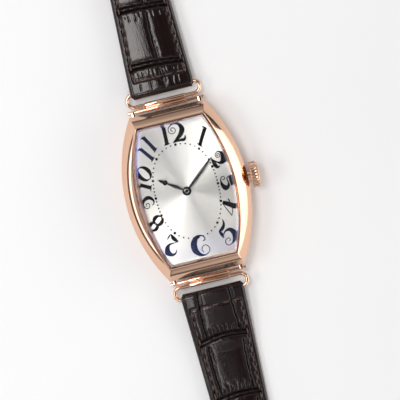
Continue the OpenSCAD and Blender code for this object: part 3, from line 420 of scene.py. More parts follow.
def bore(piece: bpy.types.Object, tool: Shell, sharp: float = 60.0) -> None:
    """Cuts a tool out of a piece by a boolean of closed surfaces, and keeps the result as the piece's mesh.

    Args:
        piece: the piece that is cut.
        tool: the shell that is taken away.
        sharp: the angle in degrees over which an edge is drawn crisp.
    """
    mesh = new_mesh("tool", tool)
    cutter = add_object("tool", mesh)
    cut = piece.modifiers.new("bore", "BOOLEAN")
    cut.object, cut.operation, cut.solver = cutter, "DIFFERENCE", "MANIFOLD"
    graph = bpy.context.evaluated_depsgraph_get()
    bored = bpy.data.meshes.new_from_object(piece.evaluated_get(graph), preserve_all_data_layers=True,
                                            depsgraph=graph)
    piece.modifiers.clear()
    finish = piece.data.materials[0]
    bored.materials.clear()
    bored.materials.append(finish)
    bored.polygons.foreach_set("material_index", np.zeros(len(bored.polygons), dtype=np.int32))
    name, piece.data = piece.data.name, bored
    bpy.data.meshes.remove(bpy.data.meshes[name])
    bored.name = name
    bored.set_sharp_from_angle(angle=math.radians(sharp))
    bpy.data.objects.remove(cutter)
    bpy.data.meshes.remove(mesh)
    log.info("%s: bored, now %d faces", piece.name, len(bored.polygons))


# Finishes


def linear(code: str) -> tuple[float, float, float, float]:
    """Turns an sRGB hex code into a linear colour.

    Args:
        code: six hex digits, such as "E0A98C".

    Returns:
        Red, green and blue, and an alpha of 1.
    """
    parts = [int(code[i:i + 2], 16) / 255 for i in (0, 2, 4)]
    r, g, b = (c / 12.92 if c <= 0.04045 else ((c + 0.055) / 1.055) ** 2.4 for c in parts)
    return r, g, b, 1.0


def add_node(tree: bpy.types.NodeTree, kind: str, values: dict[str | int, object] | None = None,
             **settings: object) -> bpy.types.Node:
    """Adds one node to a tree.

    Args:
        tree: the tree that gets it.
        kind: the node's type name, without its "ShaderNode".
        values: for each input, a number or colour to set, a socket to link, or a node whose first output is
            linked.
        **settings: its own properties.

    Returns:
        The node.
    """
    node = tree.nodes.new("ShaderNode" + kind)
    for key, value in settings.items():
        setattr(node, key, value)
    for key, value in (values or {}).items():
        value = value.outputs[0] if isinstance(value, bpy.types.Node) else value
        if isinstance(value, Socket):
            tree.links.new(value, node.inputs[key])
        else:
            node.inputs[key].default_value = value
    return node


def new_material(name: str) -> tuple[bpy.types.Material, bpy.types.NodeTree, Socket]:
    """Makes a material whose tree holds its output and a node of coordinates.

    Args:
        name: the material's name.

    Returns:
        The material, its tree and the socket of the Object coordinates.
    """
    material = bpy.data.materials.new(name)
    material.use_nodes = True
    tree = material.node_tree
    tree.nodes.clear()
    add_node(tree, "OutputMaterial")
    return material, tree, add_node(tree, "TexCoord").outputs["Object"]


def finish_with(material: bpy.types.Material, shader: bpy.types.Node) -> bpy.types.Material:
    """Links a shader to a material's output.

    Args:
        material: the material.
        shader: the node whose first socket is its surface.

    Returns:
        The material.
    """
    tree = material.node_tree
    tree.links.new(shader.outputs[0], tree.nodes["Material Output"].inputs["Surface"])
    return material


class Grain(Enum):
    """How a metal surface was finished."""

    POLISHED = "polished with a buff: a mirror with faint, wide smudges and no lines"
    BRUSHED = "drawn along X on an abrasive belt: fine parallel lines that widen the highlight"
    CIRCLED = "turned under an abrasive: fine rings about the part's middle"


@dataclass(frozen=True)
class MetalFinish:
    """A bare or plated metal. Its colour is the colour of its reflections."""

    name: str
    color: str
    roughness: float
    grain: Grain = Grain.POLISHED
    line_width: float = 0.06
    smudge: float = 4.0
    line_depth: float = 0.004

    def material(self) -> bpy.types.Material:
        """Builds the material.

        Polished metal varies its roughness by a soft noise of the smudge's size in millimetres, as handled
        metal does. Brushed metal adds lines of line_width, drawn coarser than the real 0.02 mm so that they
        show in a render. Rings are read by the distance from the part's origin, and straight lines from
        coordinates that hardly change along X.

        Returns:
            The material.
        """
        material, tree, here = new_material(self.name)
        smudge = add_node(tree, "TexNoise", {"Vector": here, "Scale": 1 / (self.smudge * MM), "Detail": 2.0})
        rough = add_node(tree, "MapRange", {"Value": smudge, "From Min": 0.3, "From Max": 0.7,
            "To Min": self.roughness * 0.75, "To Max": self.roughness * 1.35})
        values: dict[str | int, object] = {
            "Base Color": linear(self.color), "Metallic": 1.0, "Roughness": rough}
        if self.grain is not Grain.POLISHED:
            noise: dict[str | int, object] = {"Scale": 1 / (self.line_width * MM), "Detail": 2.0}
            if self.grain is Grain.BRUSHED:
                noise["Vector"] = add_node(
                    tree, "VectorMath", {0: here, 1: (0.02, 1, 1)}, operation="MULTIPLY")
            else:
                noise["W"] = add_node(tree, "VectorMath", {0: here}, operation="LENGTH").outputs["Value"]
            lines = add_node(tree, "TexNoise", noise, noise_dimensions="1D" if "W" in noise else "3D")
            values["Normal"] = add_node(tree, "Bump", {"Height": lines, "Distance": self.line_depth * MM})
        return finish_with(material, add_node(tree, "BsdfPrincipled", values))


@dataclass(frozen=True)
class SunrayDialFinish:
    """Silvered brass brushed outwards from its middle under clear lacquer.

    The brush lines run along each radius, so a lamp shows as pale fans that turn about the middle, and
    the lacquer keeps the metal pale and soft.
    """

    name: str = "silvered_brass_sunray_brushed"
    pale: str = "EBEBEA"
    deep: str = "D4D5D6"
    # size of the noise that paints fans of sheen into the colour
    fans: float = 3.0
    rays: float = 136.0
    line_depth: float = 0.004

    def material(self) -> bpy.types.Material:
        """Builds the material.

        A noise is read where each point's radius meets a circle about the middle, so it is the same all
        along the radius and has no seam. Its wide form paints fans of sheen into the colour, and its fine
        form, the rays, tints and tilts it.

        Returns:
            The material.
        """
        material, tree, here = new_material(self.name)
        flat = add_node(tree, "VectorMath", {0: here, 1: (1, 1, 0)}, operation="MULTIPLY")
        ray = add_node(tree, "VectorMath", {0: flat}, operation="NORMALIZE")
        # painted sheen: the wide noise tints pale and deep fans into the colour
        wide = add_node(tree, "TexNoise", {"Vector": ray, "Scale": self.fans, "Detail": 1.0})
        fine = add_node(tree, "TexNoise", {"Vector": ray, "Scale": self.rays, "Detail": 3.0})
        tint = add_node(tree, "Math", {0: fine, 1: 0.5, 2: wide}, operation="MULTIPLY_ADD")
        share = add_node(tree, "MapRange", {"Value": tint, "From Min": 0.3, "From Max": 1.2})
        color = add_node(tree, "Mix", {
            0: share, 6: linear(self.deep), 7: linear(self.pale)}, data_type="RGBA")
        tangent = add_node(tree, "Tangent", direction_type="RADIAL", axis="Z")
        lines = add_node(tree, "Bump", {"Height": fine, "Distance": self.line_depth * MM})
        return finish_with(material, add_node(tree, "BsdfPrincipled", {
            "Base Color": color.outputs[2], "Metallic": 0.85, "Roughness": 0.42, "Anisotropic": 1.0,
            "Tangent": tangent, "Coat Weight": 0.25, "Coat Roughness": 0.12,
            "Normal": lines}))


@dataclass(frozen=True)
class LeatherFinish:
    """Calf leather pressed with a large scale pattern, dyed through and glazed.

    Glazing under a hot glass roller makes the raised scales shine and leaves the furrows dull. The furrows'
    darker colour is painted shade.
    The lengths pore and relief are millimetres: the width of a pore and the depth of the fine grain.
    """

    name: str
    scale_color: str
    # the second colour: painted shade in the furrows and grooves, and the dark end of the cloudy drift
    drift_and_furrow_shade_color: str
    gloss: float
    pore: float = 0.35
    relief: float = 0.03

    def material(self) -> bpy.types.Material:
        """Builds the material.

        The attribute furrow, 0 on the scales and 1 in the furrows, mixes both colours, which paints shade
        into the furrows and stitch grooves. It also makes the furrows rougher and their mirror weaker. A
        cloudy noise of about 3 mm drifts the colour. Pores and creases that run along the strap give the
        fine grain.

        Returns:
            The material.
        """
        material, tree, here = new_material(self.name)
        depth = add_node(tree, "Attribute", attribute_name="furrow").outputs["Fac"]
        cloud = add_node(tree, "TexNoise", {"Vector": here, "Scale": 0.3 / MM, "Detail": 3.0})
        share = add_node(tree, "Math", {
            0: cloud, 1: 0.5, 2: depth}, operation="MULTIPLY_ADD", use_clamp=True)
        # painted shade: the furrow value mixes the darker colour into the furrows and stitch grooves
        color = add_node(tree, "Mix", {
            0: share, 6: linear(self.scale_color), 7: linear(self.drift_and_furrow_shade_color)}, data_type="RGBA")
        pores = add_node(tree, "TexVoronoi", {
            "Vector": here, "Scale": 1 / (self.pore * MM)}, feature="F1")
        long_way = add_node(tree, "VectorMath", {0: here, 1: (1, 0.12, 1)}, operation="MULTIPLY")
        creases = add_node(tree, "TexNoise", {"Vector": long_way, "Scale": 2.4 / MM, "Detail": 3.0})
        height = add_node(tree, "Math", {0: pores, 1: 0.3, 2: creases}, operation="MULTIPLY_ADD")
        dull = add_node(tree, "MapRange", {
            "Value": depth, "To Min": self.gloss, "To Max": self.gloss + 0.35})
        rough = add_node(tree, "Math", {
            0: creases, 1: 0.1, 2: dull}, operation="MULTIPLY_ADD", use_clamp=True)
        grain = add_node(tree, "Bump", {"Height": height, "Distance": self.relief * MM})
        shine = add_node(tree, "MapRange", {"Value": depth, "To Min": 0.5, "To Max": 0.14})
        return finish_with(material, add_node(tree, "BsdfPrincipled", {
            "Base Color": color.outputs[2], "Roughness": rough, "IOR": 1.43,
            "Specular IOR Level": shine, "Normal": grain}))


@dataclass(frozen=True)
class PlainFinish:
    """A dyed, printed or moulded surface that isn't bare metal, with a fine mottle and grain of its own.

    The lengths cell and depth are millimetres: the size of the mottle and the depth of the grain.
    """

    name: str
    color: str
    second: str
    roughness: float
    ior: float = 1.5
    cell: float = 0.3
    depth: float = 0.01

    def material(self) -> bpy.types.Material:
        """Builds the material: a noise mixes two close colours, drifts the gloss and raises the grain.

        Returns:
            The material.
        """
        material, tree, here = new_material(self.name)
        mottle = add_node(tree, "TexNoise", {
            "Vector": here, "Scale": 1 / (self.cell * MM), "Detail": 3.0})
        color = add_node(tree, "Mix", {
            0: mottle, 6: linear(self.color), 7: linear(self.second)}, data_type="RGBA")
        rough = add_node(tree, "MapRange", {"Value": mottle, "From Min": 0.2, "From Max": 0.8,
            "To Min": self.roughness * 0.85, "To Max": self.roughness * 1.15})
        grain = add_node(tree, "Bump", {"Height": mottle, "Distance": self.depth * MM})
        return finish_with(material, add_node(tree, "BsdfPrincipled", {
            "Base Color": color.outputs[2], "Roughness": rough, "IOR": self.ior,
            "Normal": grain}))


@dataclass(frozen=True)
class GlassFinish:
    """A clear stone or glass, ground and polished, such as watch crystal or synthetic ruby.

    For shadow rays the shader is plain transparency, which lets the lamps through to what lies behind.
    """

    name: str
    color: str
    ior: float
    roughness: float = 0.0
    mirror: str = "FFFFFF"

    def material(self) -> bpy.types.Material:
        """Builds the material: a clear body, and plain transparency for shadow rays.

        Returns:
            The material.
        """
        material, tree, _ = new_material(self.name)
        glass = add_node(tree, "BsdfPrincipled", {
            "Base Color": linear(self.color), "Roughness": self.roughness, "IOR": self.ior,
            "Transmission Weight": 1.0, "Specular Tint": linear(self.mirror)})
        clear = add_node(tree, "BsdfTransparent", {"Color": linear(self.color)})
        shadow = add_node(tree, "LightPath").outputs["Is Shadow Ray"]
        return finish_with(material, add_node(tree, "MixShader", {0: shadow, 1: glass, 2: clear}))


@dataclass
class Finishes:
    """Every finish of the watch, built once and shared."""

    def __post_init__(self) -> None:
        """Builds all materials."""
        # Rose gold, about 75 parts gold and 20 copper: warm pink mirror, buffed
        self.rose_gold = MetalFinish("rose_gold_polished", "E7BDA2", 0.06).material()
        # The same gold on the back, brushed in rings: satin with a bow-tie highlight
        self.back_gold = MetalFinish(
            "rose_gold_circle_brushed", "DDAE8E", 0.26, Grain.CIRCLED, 0.12).material()
        # The same gold, blasted to a satin on the flange: a soft pink band
        self.satin_gold = MetalFinish("rose_gold_satin", "E6C3B4", 0.38).material()
        # Hardened steel, polished: a cool, slightly soft mirror
        self.steel = MetalFinish("steel_polished", "C9CBCE", 0.16).material()
        # Steel plates drawn on a belt: straight fine lines
        self.brushed_steel = MetalFinish("steel_belt_brushed", "BFC1C4", 0.3, Grain.BRUSHED, 0.1).material()
        # Brass, rolled and turned: yellow satin with rings
        self.brass = MetalFinish("brass_circle_brushed", "D9B872", 0.24, Grain.CIRCLED, 0.1).material()
        # Blackened steel hands under lacquer: a dark mirror
        self.hand_black = PlainFinish(
            "steel_black_lacquered", "030304", "07070A", 0.1, 1.55, 0.5, 0.001).material()
        # Pad-printed ink on the dial: nearly matt and slightly raised
        self.ink = PlainFinish("black_pad_print_ink", "030305", "07070B", 0.2, 1.45, 0.1, 0.0006).material()
        # Moulded nitrile rubber: dark and matt
        self.rubber = PlainFinish("nitrile_rubber_moulded", "141416", "1E1E20", 0.6, 1.52, 0.3).material()
        # Synthetic ruby, ground and polished: clear red
        self.ruby = GlassFinish("ruby_polished", "C2213F", 1.76, 0.05).material()
        # Mineral glass, polished and coated against glare: clear, and its mirror is faint and blue violet
        self.crystal = GlassFinish("mineral_glass_coated", "FCFCFF", 1.64, 0.0, "7890FF").material()
        # Silvered dial: fine rays, with painted fans of sheen about the middle
        self.dial = SunrayDialFinish().material()
        # Dark brown calf leather, pressed and glazed: shining scales, and dull furrows with painted shade
        self.leather = LeatherFinish(
            "calf_leather_pressed_glazed", "1C0F0F", "130807", 0.1, relief=0.02).material()
        # Soft calf lining, sueded: matt tan nap
        self.lining = LeatherFinish("calf_leather_sueded", "6E4A33", "3C2619", 0.6, 0.25, 0.12).material()
        # Waxed linen thread, twisted: soft brown
        self.thread = PlainFinish("linen_thread_waxed", "3E2822", "63463A", 0.5, 1.5, 0.12, 0.03).material()


# Case, crystal and flange


@dataclass(frozen=True)
class Tonneau:
    """The outline of the case and of what fits in it: straight ends, and sides that are one arc each."""

    length: float
    width: float
    end: float

    def inset(self, by: float) -> "Tonneau":
        """Returns the outline drawn in by the same distance on every side."""
        slope = (self.width - self.end) / self.length
        return Tonneau(self.length - 2 * by, self.width - 2 * by, self.end - 2 * by * (1 - 2 * slope))

    def toward(self, other: "Tonneau", share: float) -> "Tonneau":
        """Returns the outline that lies a share of the way to another."""
        return Tonneau(*(a + (b - a) * share for a, b in
                         ((self.length, other.length), (self.width, other.width), (self.end, other.end))))

    def points(self, side: int = 64, end: int = 28, soften: int = 4) -> np.ndarray:
        """Returns the outline as points, anticlockwise from the lower right corner.

        A side's points have x = w/2 - R + sqrt(R R - y y), where R is the radius of the arc through both
        corners and the middle. Points crowd towards the corners by a cosine, and each is then drawn
        a few times to the mean of its neighbours, which rounds the corners and leaves the rest in place.

        Args:
            side: points on each bowed side.
            end: points on each straight end.
            soften: times that the corners are rounded.

        Returns:
            An array of (2 * (side + end), 2).
        """
        half, bow = self.length / 2, (self.width - self.end) / 2
        radius = (half ** 2 + bow ** 2) / (2 * bow)
        y = -half * np.cos(math.pi * np.arange(side) / side)
        x = self.width / 2 - radius + np.sqrt(radius ** 2 - y ** 2)
        across = self.end / 2 * np.cos(math.pi * np.arange(end) / end)
        line = np.concatenate([
            np.column_stack([x, y]), np.column_stack([across, np.full(end, half)]),
            np.column_stack([-x, -y]), np.column_stack([-across, np.full(end, -half)])])
        for _ in range(soften):
            line = (np.roll(line, 1, 0) + 2 * line + np.roll(line, -1, 0)) / 4
        return line


def ring(levels: list[tuple[Tonneau, float]]) -> Shell:
    """Makes a ring from outlines and their heights, in order round its section, each joined to the next."""
    return grid(np.array([at_height(outline.points(), z) for outline, z in levels]), wrap_rows=True)


@dataclass(frozen=True)
class Case:
    """The rose gold case with its bevelled bezel, the crystal, and the ring and gasket under it."""

    edge: Tonneau = Tonneau(42.4, 31.4, 19.2)
    ridge: Tonneau = Tonneau(36.6, 25.4, 17.4)
    back_z: float = 0.9
    seam_z: float = 4.9
    ridge_z: float = 7.75
    bevel_reach: float = 2.95
    wall_z: float = 7.28
    step_z: float = 5.35
    flange_z: float = 5.31
    gasket_z: float = 6.75
    rim_r: float = 0.25
    chamfer: float = 0.6
    bulge: float = 0.16
    crystal_z: float = 7.0
    crystal_top: float = 8.3
    crystal_drop: float = 0.5
    crystal_bevel: float = 0.18
    lug_y: float = 22.2
    lug_z: float = 2.3
    horn_x: float = 8.6
    horn_w: float = 1.0
    horn_r: float = 0.46

    @property
    def opening(self) -> Tonneau:
        """Returns the outline of the hole that the crystal fills."""
        return self.ridge.inset(self.chamfer)

    def bezel(self) -> Shell:
        """Makes the bezel.

        Its section runs up the outer bevel, which is a chord from edge to ridge that bulges by a parabola
        along the chord's normal, over a small round ridge, down the inner chamfer and wall, round the
        step for the dial, and back along the seam.

        Returns:
            The closed shell.
        """
        rise_z, reach = self.ridge_z - self.seam_z, self.bevel_reach
        chord = math.hypot(rise_z, reach)
        levels = []
        for t in np.linspace(0.0, 0.985, 22):
            lift = self.bulge * 4 * t * (1 - t)
            outline = self.edge.toward(self.ridge, t - lift * rise_z / chord / reach)
            levels.append((outline, self.seam_z + 0.06 + t * (rise_z - 0.08) + lift * reach / chord))
        step = self.opening.inset(-0.5)
        levels += [(self.ridge.inset(0.03), self.ridge_z - 0.01),
                   (self.ridge.inset(0.1), self.ridge_z - 0.03),
                   (self.opening.inset(-0.05), self.wall_z + 0.08), (self.opening, self.wall_z),
                   (self.opening, self.step_z), (step, self.step_z), (step, self.seam_z + 0.02),
                   (self.edge.inset(0.12), self.seam_z + 0.02)]
        return ring(levels)

    def middle(self) -> Shell:
        """Makes the case middle: a ring with rounded rims, and a horn at each end of each lug bar.

        A horn is a slab cut across X whose outline in Y and Z is a half round about the bar and two lines
        back into the case.

        Returns:
            The closed shells as one.
        """
        cavity = Tonneau(36.6, 25.6, self.edge.inset(2.9).end)
        rim, turn = self.rim_r, quarter_turn(4)
        low = [(self.edge.inset(rim * (1 - math.sin(a))), self.back_z + rim * (1 - math.cos(a)))
               for a in turn]
        high = [(self.edge.inset(0.06 * (1 - math.cos(a))), self.seam_z - 0.06 + 0.05 * math.sin(a))
                for a in turn]
        levels = low + high + [(cavity, self.seam_z - 0.01), (cavity, self.back_z)]
        a = half_turn(25)
        nose = np.column_stack([self.horn_r * np.cos(a), self.horn_r * np.sin(a)])
        outline = np.vstack([nose, [[-2.0, self.horn_r], [-2.0, -self.horn_r]]])
        horn = slab(outline, -self.horn_w / 2, self.horn_w / 2, 0.12)
        upper = Shell(horn.points[:, [2, 0, 1]], horn.faces).moved((0, self.lug_y, self.lug_z))
        lower = upper.scaled((1, -1, 1))
        horns = [end.moved((s * self.horn_x, 0, 0)) for end in (upper, lower) for s in (-1, 1)]
        return join([ring(levels)] + horns)

    def crystal(self) -> Shell:
        """Makes the crystal of its outline drawn in towards the middle again and again.

        The top lies at crystal_top less crystal_drop times the square of y over the half length, and its
        rim has a bevel.

        Returns:
            The closed shell.
        """
        line = self.opening.inset(0.06).points(soften=2)
        half = self.opening.length / 2
        drops = [(1.0, self.crystal_bevel), (0.995, self.crystal_bevel / 3)]
        drops += [(share, 0.0) for share in np.linspace(0.985, 0.02, 16)]
        under = [at_height(line * share, self.crystal_z) for share in np.linspace(0.02, 1.0, 5)]
        over = [at_height(line * share, self.crystal_top - self.crystal_drop
                          * (line[:, 1] * share / half) ** 2 - drop) for share, drop in drops]
        return grid(np.array(under + over))

    def gasket(self) -> Shell:
        """Returns the thin gasket that shows as a dark line round the crystal's foot."""
        outer, inner, low, high = self.opening.inset(0.01), self.opening.inset(0.24), self.gasket_z, 6.99
        return ring([(outer, low), (outer, high), (inner, high), (inner, low)])

    def flange(self) -> Shell:
        """Makes the flange, whose inner face leans in from the gasket to the dial.

        Returns:
            The closed shell.
        """
        outer, top, foot = (self.opening.inset(by) for by in (0.01, 0.27, 0.74))
        low, high = self.flange_z, self.gasket_z - 0.01
        return ring([(outer, low), (outer, high), (top.inset(-0.03), high), (top, high - 0.04),
                     (foot, low + 0.07), (foot, low)])

    def build(self, finishes: Finishes) -> None:
        """Builds the pieces of the case.

        Args:
            finishes: the finishes of the watch.
        """
        for name, shell, finish, slot, node, sharp in (
                ("bezel_bevelled", self.bezel(), finishes.rose_gold, "rose_gold", "bezel", 24),
                ("case_ring", self.middle(), finishes.rose_gold, "rose_gold", "case_middle", 28),
                ("crystal_domed", self.crystal(), finishes.crystal, "crystal", "crystal", 30),
                ("crystal_seal", self.gasket(), finishes.rubber, "rubber", "crystal_gasket", 40),
                ("dial_flange", self.flange(), finishes.satin_gold, "rose_gold", "flange_ring", 30)):
            mesh_piece(name, shell, finish, "case", slot, (node,), sharp)


# Dial print and hands


# Pen strokes of the hour numerals on the dial: x, y and full pen width in millimetres. A stroke is a smooth
# line through its rows. The numerals from four to eight have their tops towards the middle of the dial
STROKES: dict[str, tuple[tuple[tuple[float, float, float], ...], ...]] = {
    "12": (
        ((-1.94, 16.87, 0.97), (-1.99, 14.77, 0.93), (-2.03, 12.72, 1.01)),
        ((-2.68, 17.18, 0.17), (-2.22, 16.98, 0.42), (-1.8, 16.83, 0.84)),
        ((-2.88, 12.59, 0.21), (-2.1, 12.61, 0.38), (-1.3, 12.71, 0.21)),
        ((-0.1, 17.01, 0.3), (0.76, 17.18, 0.34), (1.96, 16.84, 0.63), (2.56, 15.62, 1.31),
         (1.84, 14.26, 1.14), (0.56, 13.28, 0.63), (-0.46, 12.63, 0.17)),
        ((-0.1, 16.98, 0.19), (-0.8, 16.42, 0.19), (-0.89, 15.59, 0.19), (-0.4, 15.0, 0.19),
         (0.3, 14.94, 0.19), (0.79, 15.35, 0.19), (0.83, 15.93, 0.19), (0.48, 16.31, 0.19),
         (0.03, 16.33, 0.19), (-0.25, 16.05, 0.19), (-0.23, 15.72, 0.19), (-0.03, 15.55, 0.19),
         (0.17, 15.59, 0.19)),
        ((-0.5, 12.64, 0.21), (0.54, 12.86, 0.55), (1.63, 12.89, 0.72), (2.43, 12.82, 0.76),
         (2.83, 13.24, 0.51), (2.94, 13.85, 0.17)),
    ),
    "11": (
        ((-7.58, 15.82, 0.93), (-6.45, 13.95, 0.89), (-5.31, 11.99, 0.97)),
        ((-8.29, 15.39, 0.17), (-7.93, 15.6, 0.38), (-7.52, 15.72, 0.76)),
        ((-4.76, 12.45, 0.17), (-5.28, 11.94, 0.38), (-5.76, 11.37, 0.17)),
        ((-8.94, 13.14, 0.89), (-7.71, 11.51, 0.84), (-6.48, 9.87, 0.93)),
        ((-9.56, 12.7, 0.17), (-9.28, 12.97, 0.38), (-8.86, 13.08, 0.76)),
        ((-5.89, 10.33, 0.17), (-6.45, 9.82, 0.38), (-6.98, 9.26, 0.17)),
    ),
    "10": (
        ((-8.44, 5.16, 0.21), (-9.13, 5.03, 0.5), (-9.9, 5.37, 0.83), (-10.56, 6.09, 0.97),
         (-10.93, 7.0, 0.83), (-10.9, 7.84, 0.5), (-10.49, 8.41, 0.21), (-9.81, 8.53, 0.5),
         (-9.03, 8.19, 0.83), (-8.37, 7.47, 0.97), (-8.0, 6.57, 0.83), (-8.03, 5.72, 0.5),
         (-8.44, 5.16, 0.21)),
        ((-11.19, 4.28, 0.93), (-10.01, 3.65, 0.89), (-8.83, 3.01, 0.97)),
        ((-11.48, 3.11, 0.17), (-11.44, 3.61, 0.38), (-11.15, 4.1, 0.84)),
        ((-8.38, 3.63, 0.17), (-8.71, 2.98, 0.38), (-8.89, 2.08, 0.17)),
    ),
    "9": (
        ((-9.42, -1.41, 0.21), (-8.91, -1.1, 0.25), (-8.89, -0.16, 0.55), (-9.9, 0.65, 0.97),
         (-11.0, 0.36, 0.8), (-11.54, -0.58, 0.32), (-11.33, -1.63, 0.21), (-10.58, -1.94, 0.19),
         (-10.03, -1.43, 0.19), (-10.25, -0.77, 0.19), (-10.82, -0.8, 0.19), (-10.98, -1.28, 0.17),
         (-10.67, -1.4, 0.15)),
    ),
    "8": (
        ((-7.97, -4.78, 0.21), (-7.78, -5.28, 0.48), (-7.9, -5.84, 0.8), (-8.29, -6.32, 0.93),
         (-8.85, -6.6, 0.8), (-9.43, -6.58, 0.48), (-9.87, -6.29, 0.21), (-10.05, -5.8, 0.48),
         (-9.93, -5.23, 0.8), (-9.54, -4.75, 0.93), (-8.98, -4.48, 0.8), (-8.41, -4.49, 0.48),
         (-7.97, -4.78, 0.21)),
        ((-9.56, -6.08, 0.21), (-9.38, -6.53, 0.47), (-9.47, -7.03, 0.76), (-9.81, -7.45, 0.89),
         (-10.29, -7.68, 0.76), (-10.8, -7.65, 0.47), (-11.2, -7.38, 0.21), (-11.37, -6.93, 0.47),
         (-11.28, -6.43, 0.76), (-10.95, -6.01, 0.89), (-10.46, -5.78, 0.76), (-9.95, -5.81, 0.47),
         (-9.56, -6.08, 0.21)),
    ),
    "7": (
        ((-7.8, -10.82, 0.17), (-7.3, -10.21, 0.34), (-6.63, -9.77, 0.3), (-6.26, -10.72, 0.97),
         (-5.79, -11.4, 0.84), (-5.2, -11.97, 0.17)),
        ((-5.24, -11.96, 0.17), (-6.28, -12.01, 0.21), (-7.57, -12.16, 0.55), (-8.33, -12.97, 1.18),
         (-8.36, -14.13, 1.39), (-7.47, -14.86, 0.76), (-6.59, -14.65, 0.38), (-6.14, -13.86, 0.17)),
    ),
    "6": (
        ((0.86, -13.25, 0.21), (1.43, -13.05, 0.25), (1.48, -12.41, 0.25), (0.66, -11.78, 0.34),
         (-0.58, -12.12, 1.05), (-1.5, -13.4, 1.56), (-1.56, -15.11, 1.52), (-0.69, -16.36, 0.93),
         (0.5, -16.79, 0.3), (1.56, -16.49, 0.19), (2.12, -15.63, 0.19), (1.86, -14.79, 0.19),
         (1.21, -14.37, 0.19), (0.47, -14.67, 0.19), (0.15, -15.41, 0.19), (0.42, -16.08, 0.17)),
    ),
    "5": (
        ((7.01, -9.09, 0.13), (7.12, -10.06, 0.46), (6.8, -10.97, 0.76), (6.13, -11.62, 0.84),
         (5.41, -11.92, 0.3)),
        ((5.49, -11.94, 0.34), (5.94, -12.74, 0.84), (6.27, -13.81, 0.25)),
        ((6.32, -13.09, 0.17), (7.06, -12.2, 0.42), (8.21, -12.05, 0.93), (8.96, -12.88, 1.22),
         (8.94, -14.17, 0.89), (8.2, -15.41, 0.34), (7.14, -15.88, 0.21), (6.47, -15.28, 0.21),
         (6.64, -14.42, 0.21), (7.42, -14.05, 0.21), (7.8, -14.58, 0.19), (7.38, -14.91, 0.17)),
    ),
    "4": (
        ((8.12, -4.97, 0.89), (9.48, -5.73, 1.18), (11.08, -6.73, 1.31)),
        ((11.24, -5.91, 0.25), (11.18, -6.84, 0.46), (11.15, -7.83, 0.21)),
        ((9.73, -4.38, 0.3), (9.98, -5.6, 0.25), (10.18, -7.24, 0.25), (9.63, -8.78, 0.17)),
        ((8.13, -5.44, 0.17), (8.76, -6.89, 0.21), (9.63, -8.78, 0.21)),
    ),
    "3": (
        ((11.38, 1.28, 0.25), (11.45, 0.51, 0.72), (11.42, -0.49, 0.59), (11.29, -1.36, 0.17)),
        ((11.4, 1.19, 0.17), (10.64, 0.71, 0.25), (10.77, -0.33, 0.3)),
        ((10.83, -0.26, 0.25), (10.59, -1.23, 0.76), (9.78, -1.55, 1.27), (9.16, -0.75, 0.89),
         (8.97, 0.37, 0.32), (9.31, 1.25, 0.21), (9.87, 1.4, 0.19), (10.12, 0.86, 0.19),
         (9.73, 0.49, 0.17), (9.53, 0.75, 0.17)),
    ),
    "2": (
        ((9.41, 7.53, 0.21), (10.04, 7.84, 0.25), (10.69, 7.34, 0.51), (10.99, 6.28, 1.18),
         (10.67, 5.15, 1.22), (9.68, 4.97, 0.59), (8.7, 5.72, 0.25), (7.95, 6.51, 0.17)),
        ((9.4, 7.54, 0.19), (9.13, 7.03, 0.19), (9.31, 6.52, 0.19), (9.76, 6.33, 0.19),
         (10.17, 6.52, 0.19), (10.29, 6.91, 0.19), (10.1, 7.22, 0.19), (9.79, 7.28, 0.19),
         (9.57, 7.1, 0.19), (9.56, 6.87, 0.19), (9.7, 6.74, 0.19), (9.85, 6.77, 0.19)),
        ((7.94, 6.47, 0.21), (8.34, 5.47, 0.84), (8.75, 4.34, 0.97), (9.17, 3.98, 0.63),
         (9.71, 4.23, 0.17)),
    ),
    "1": (
        ((8.21, 14.22, 0.93), (7.12, 12.43, 0.89), (5.97, 10.4, 0.89)),
        ((7.61, 15.01, 0.13), (8.11, 14.59, 0.42), (8.61, 14.03, 0.42)),
        ((5.43, 11.09, 0.17), (5.93, 10.49, 0.38), (6.56, 9.91, 0.17)),
    ),
}


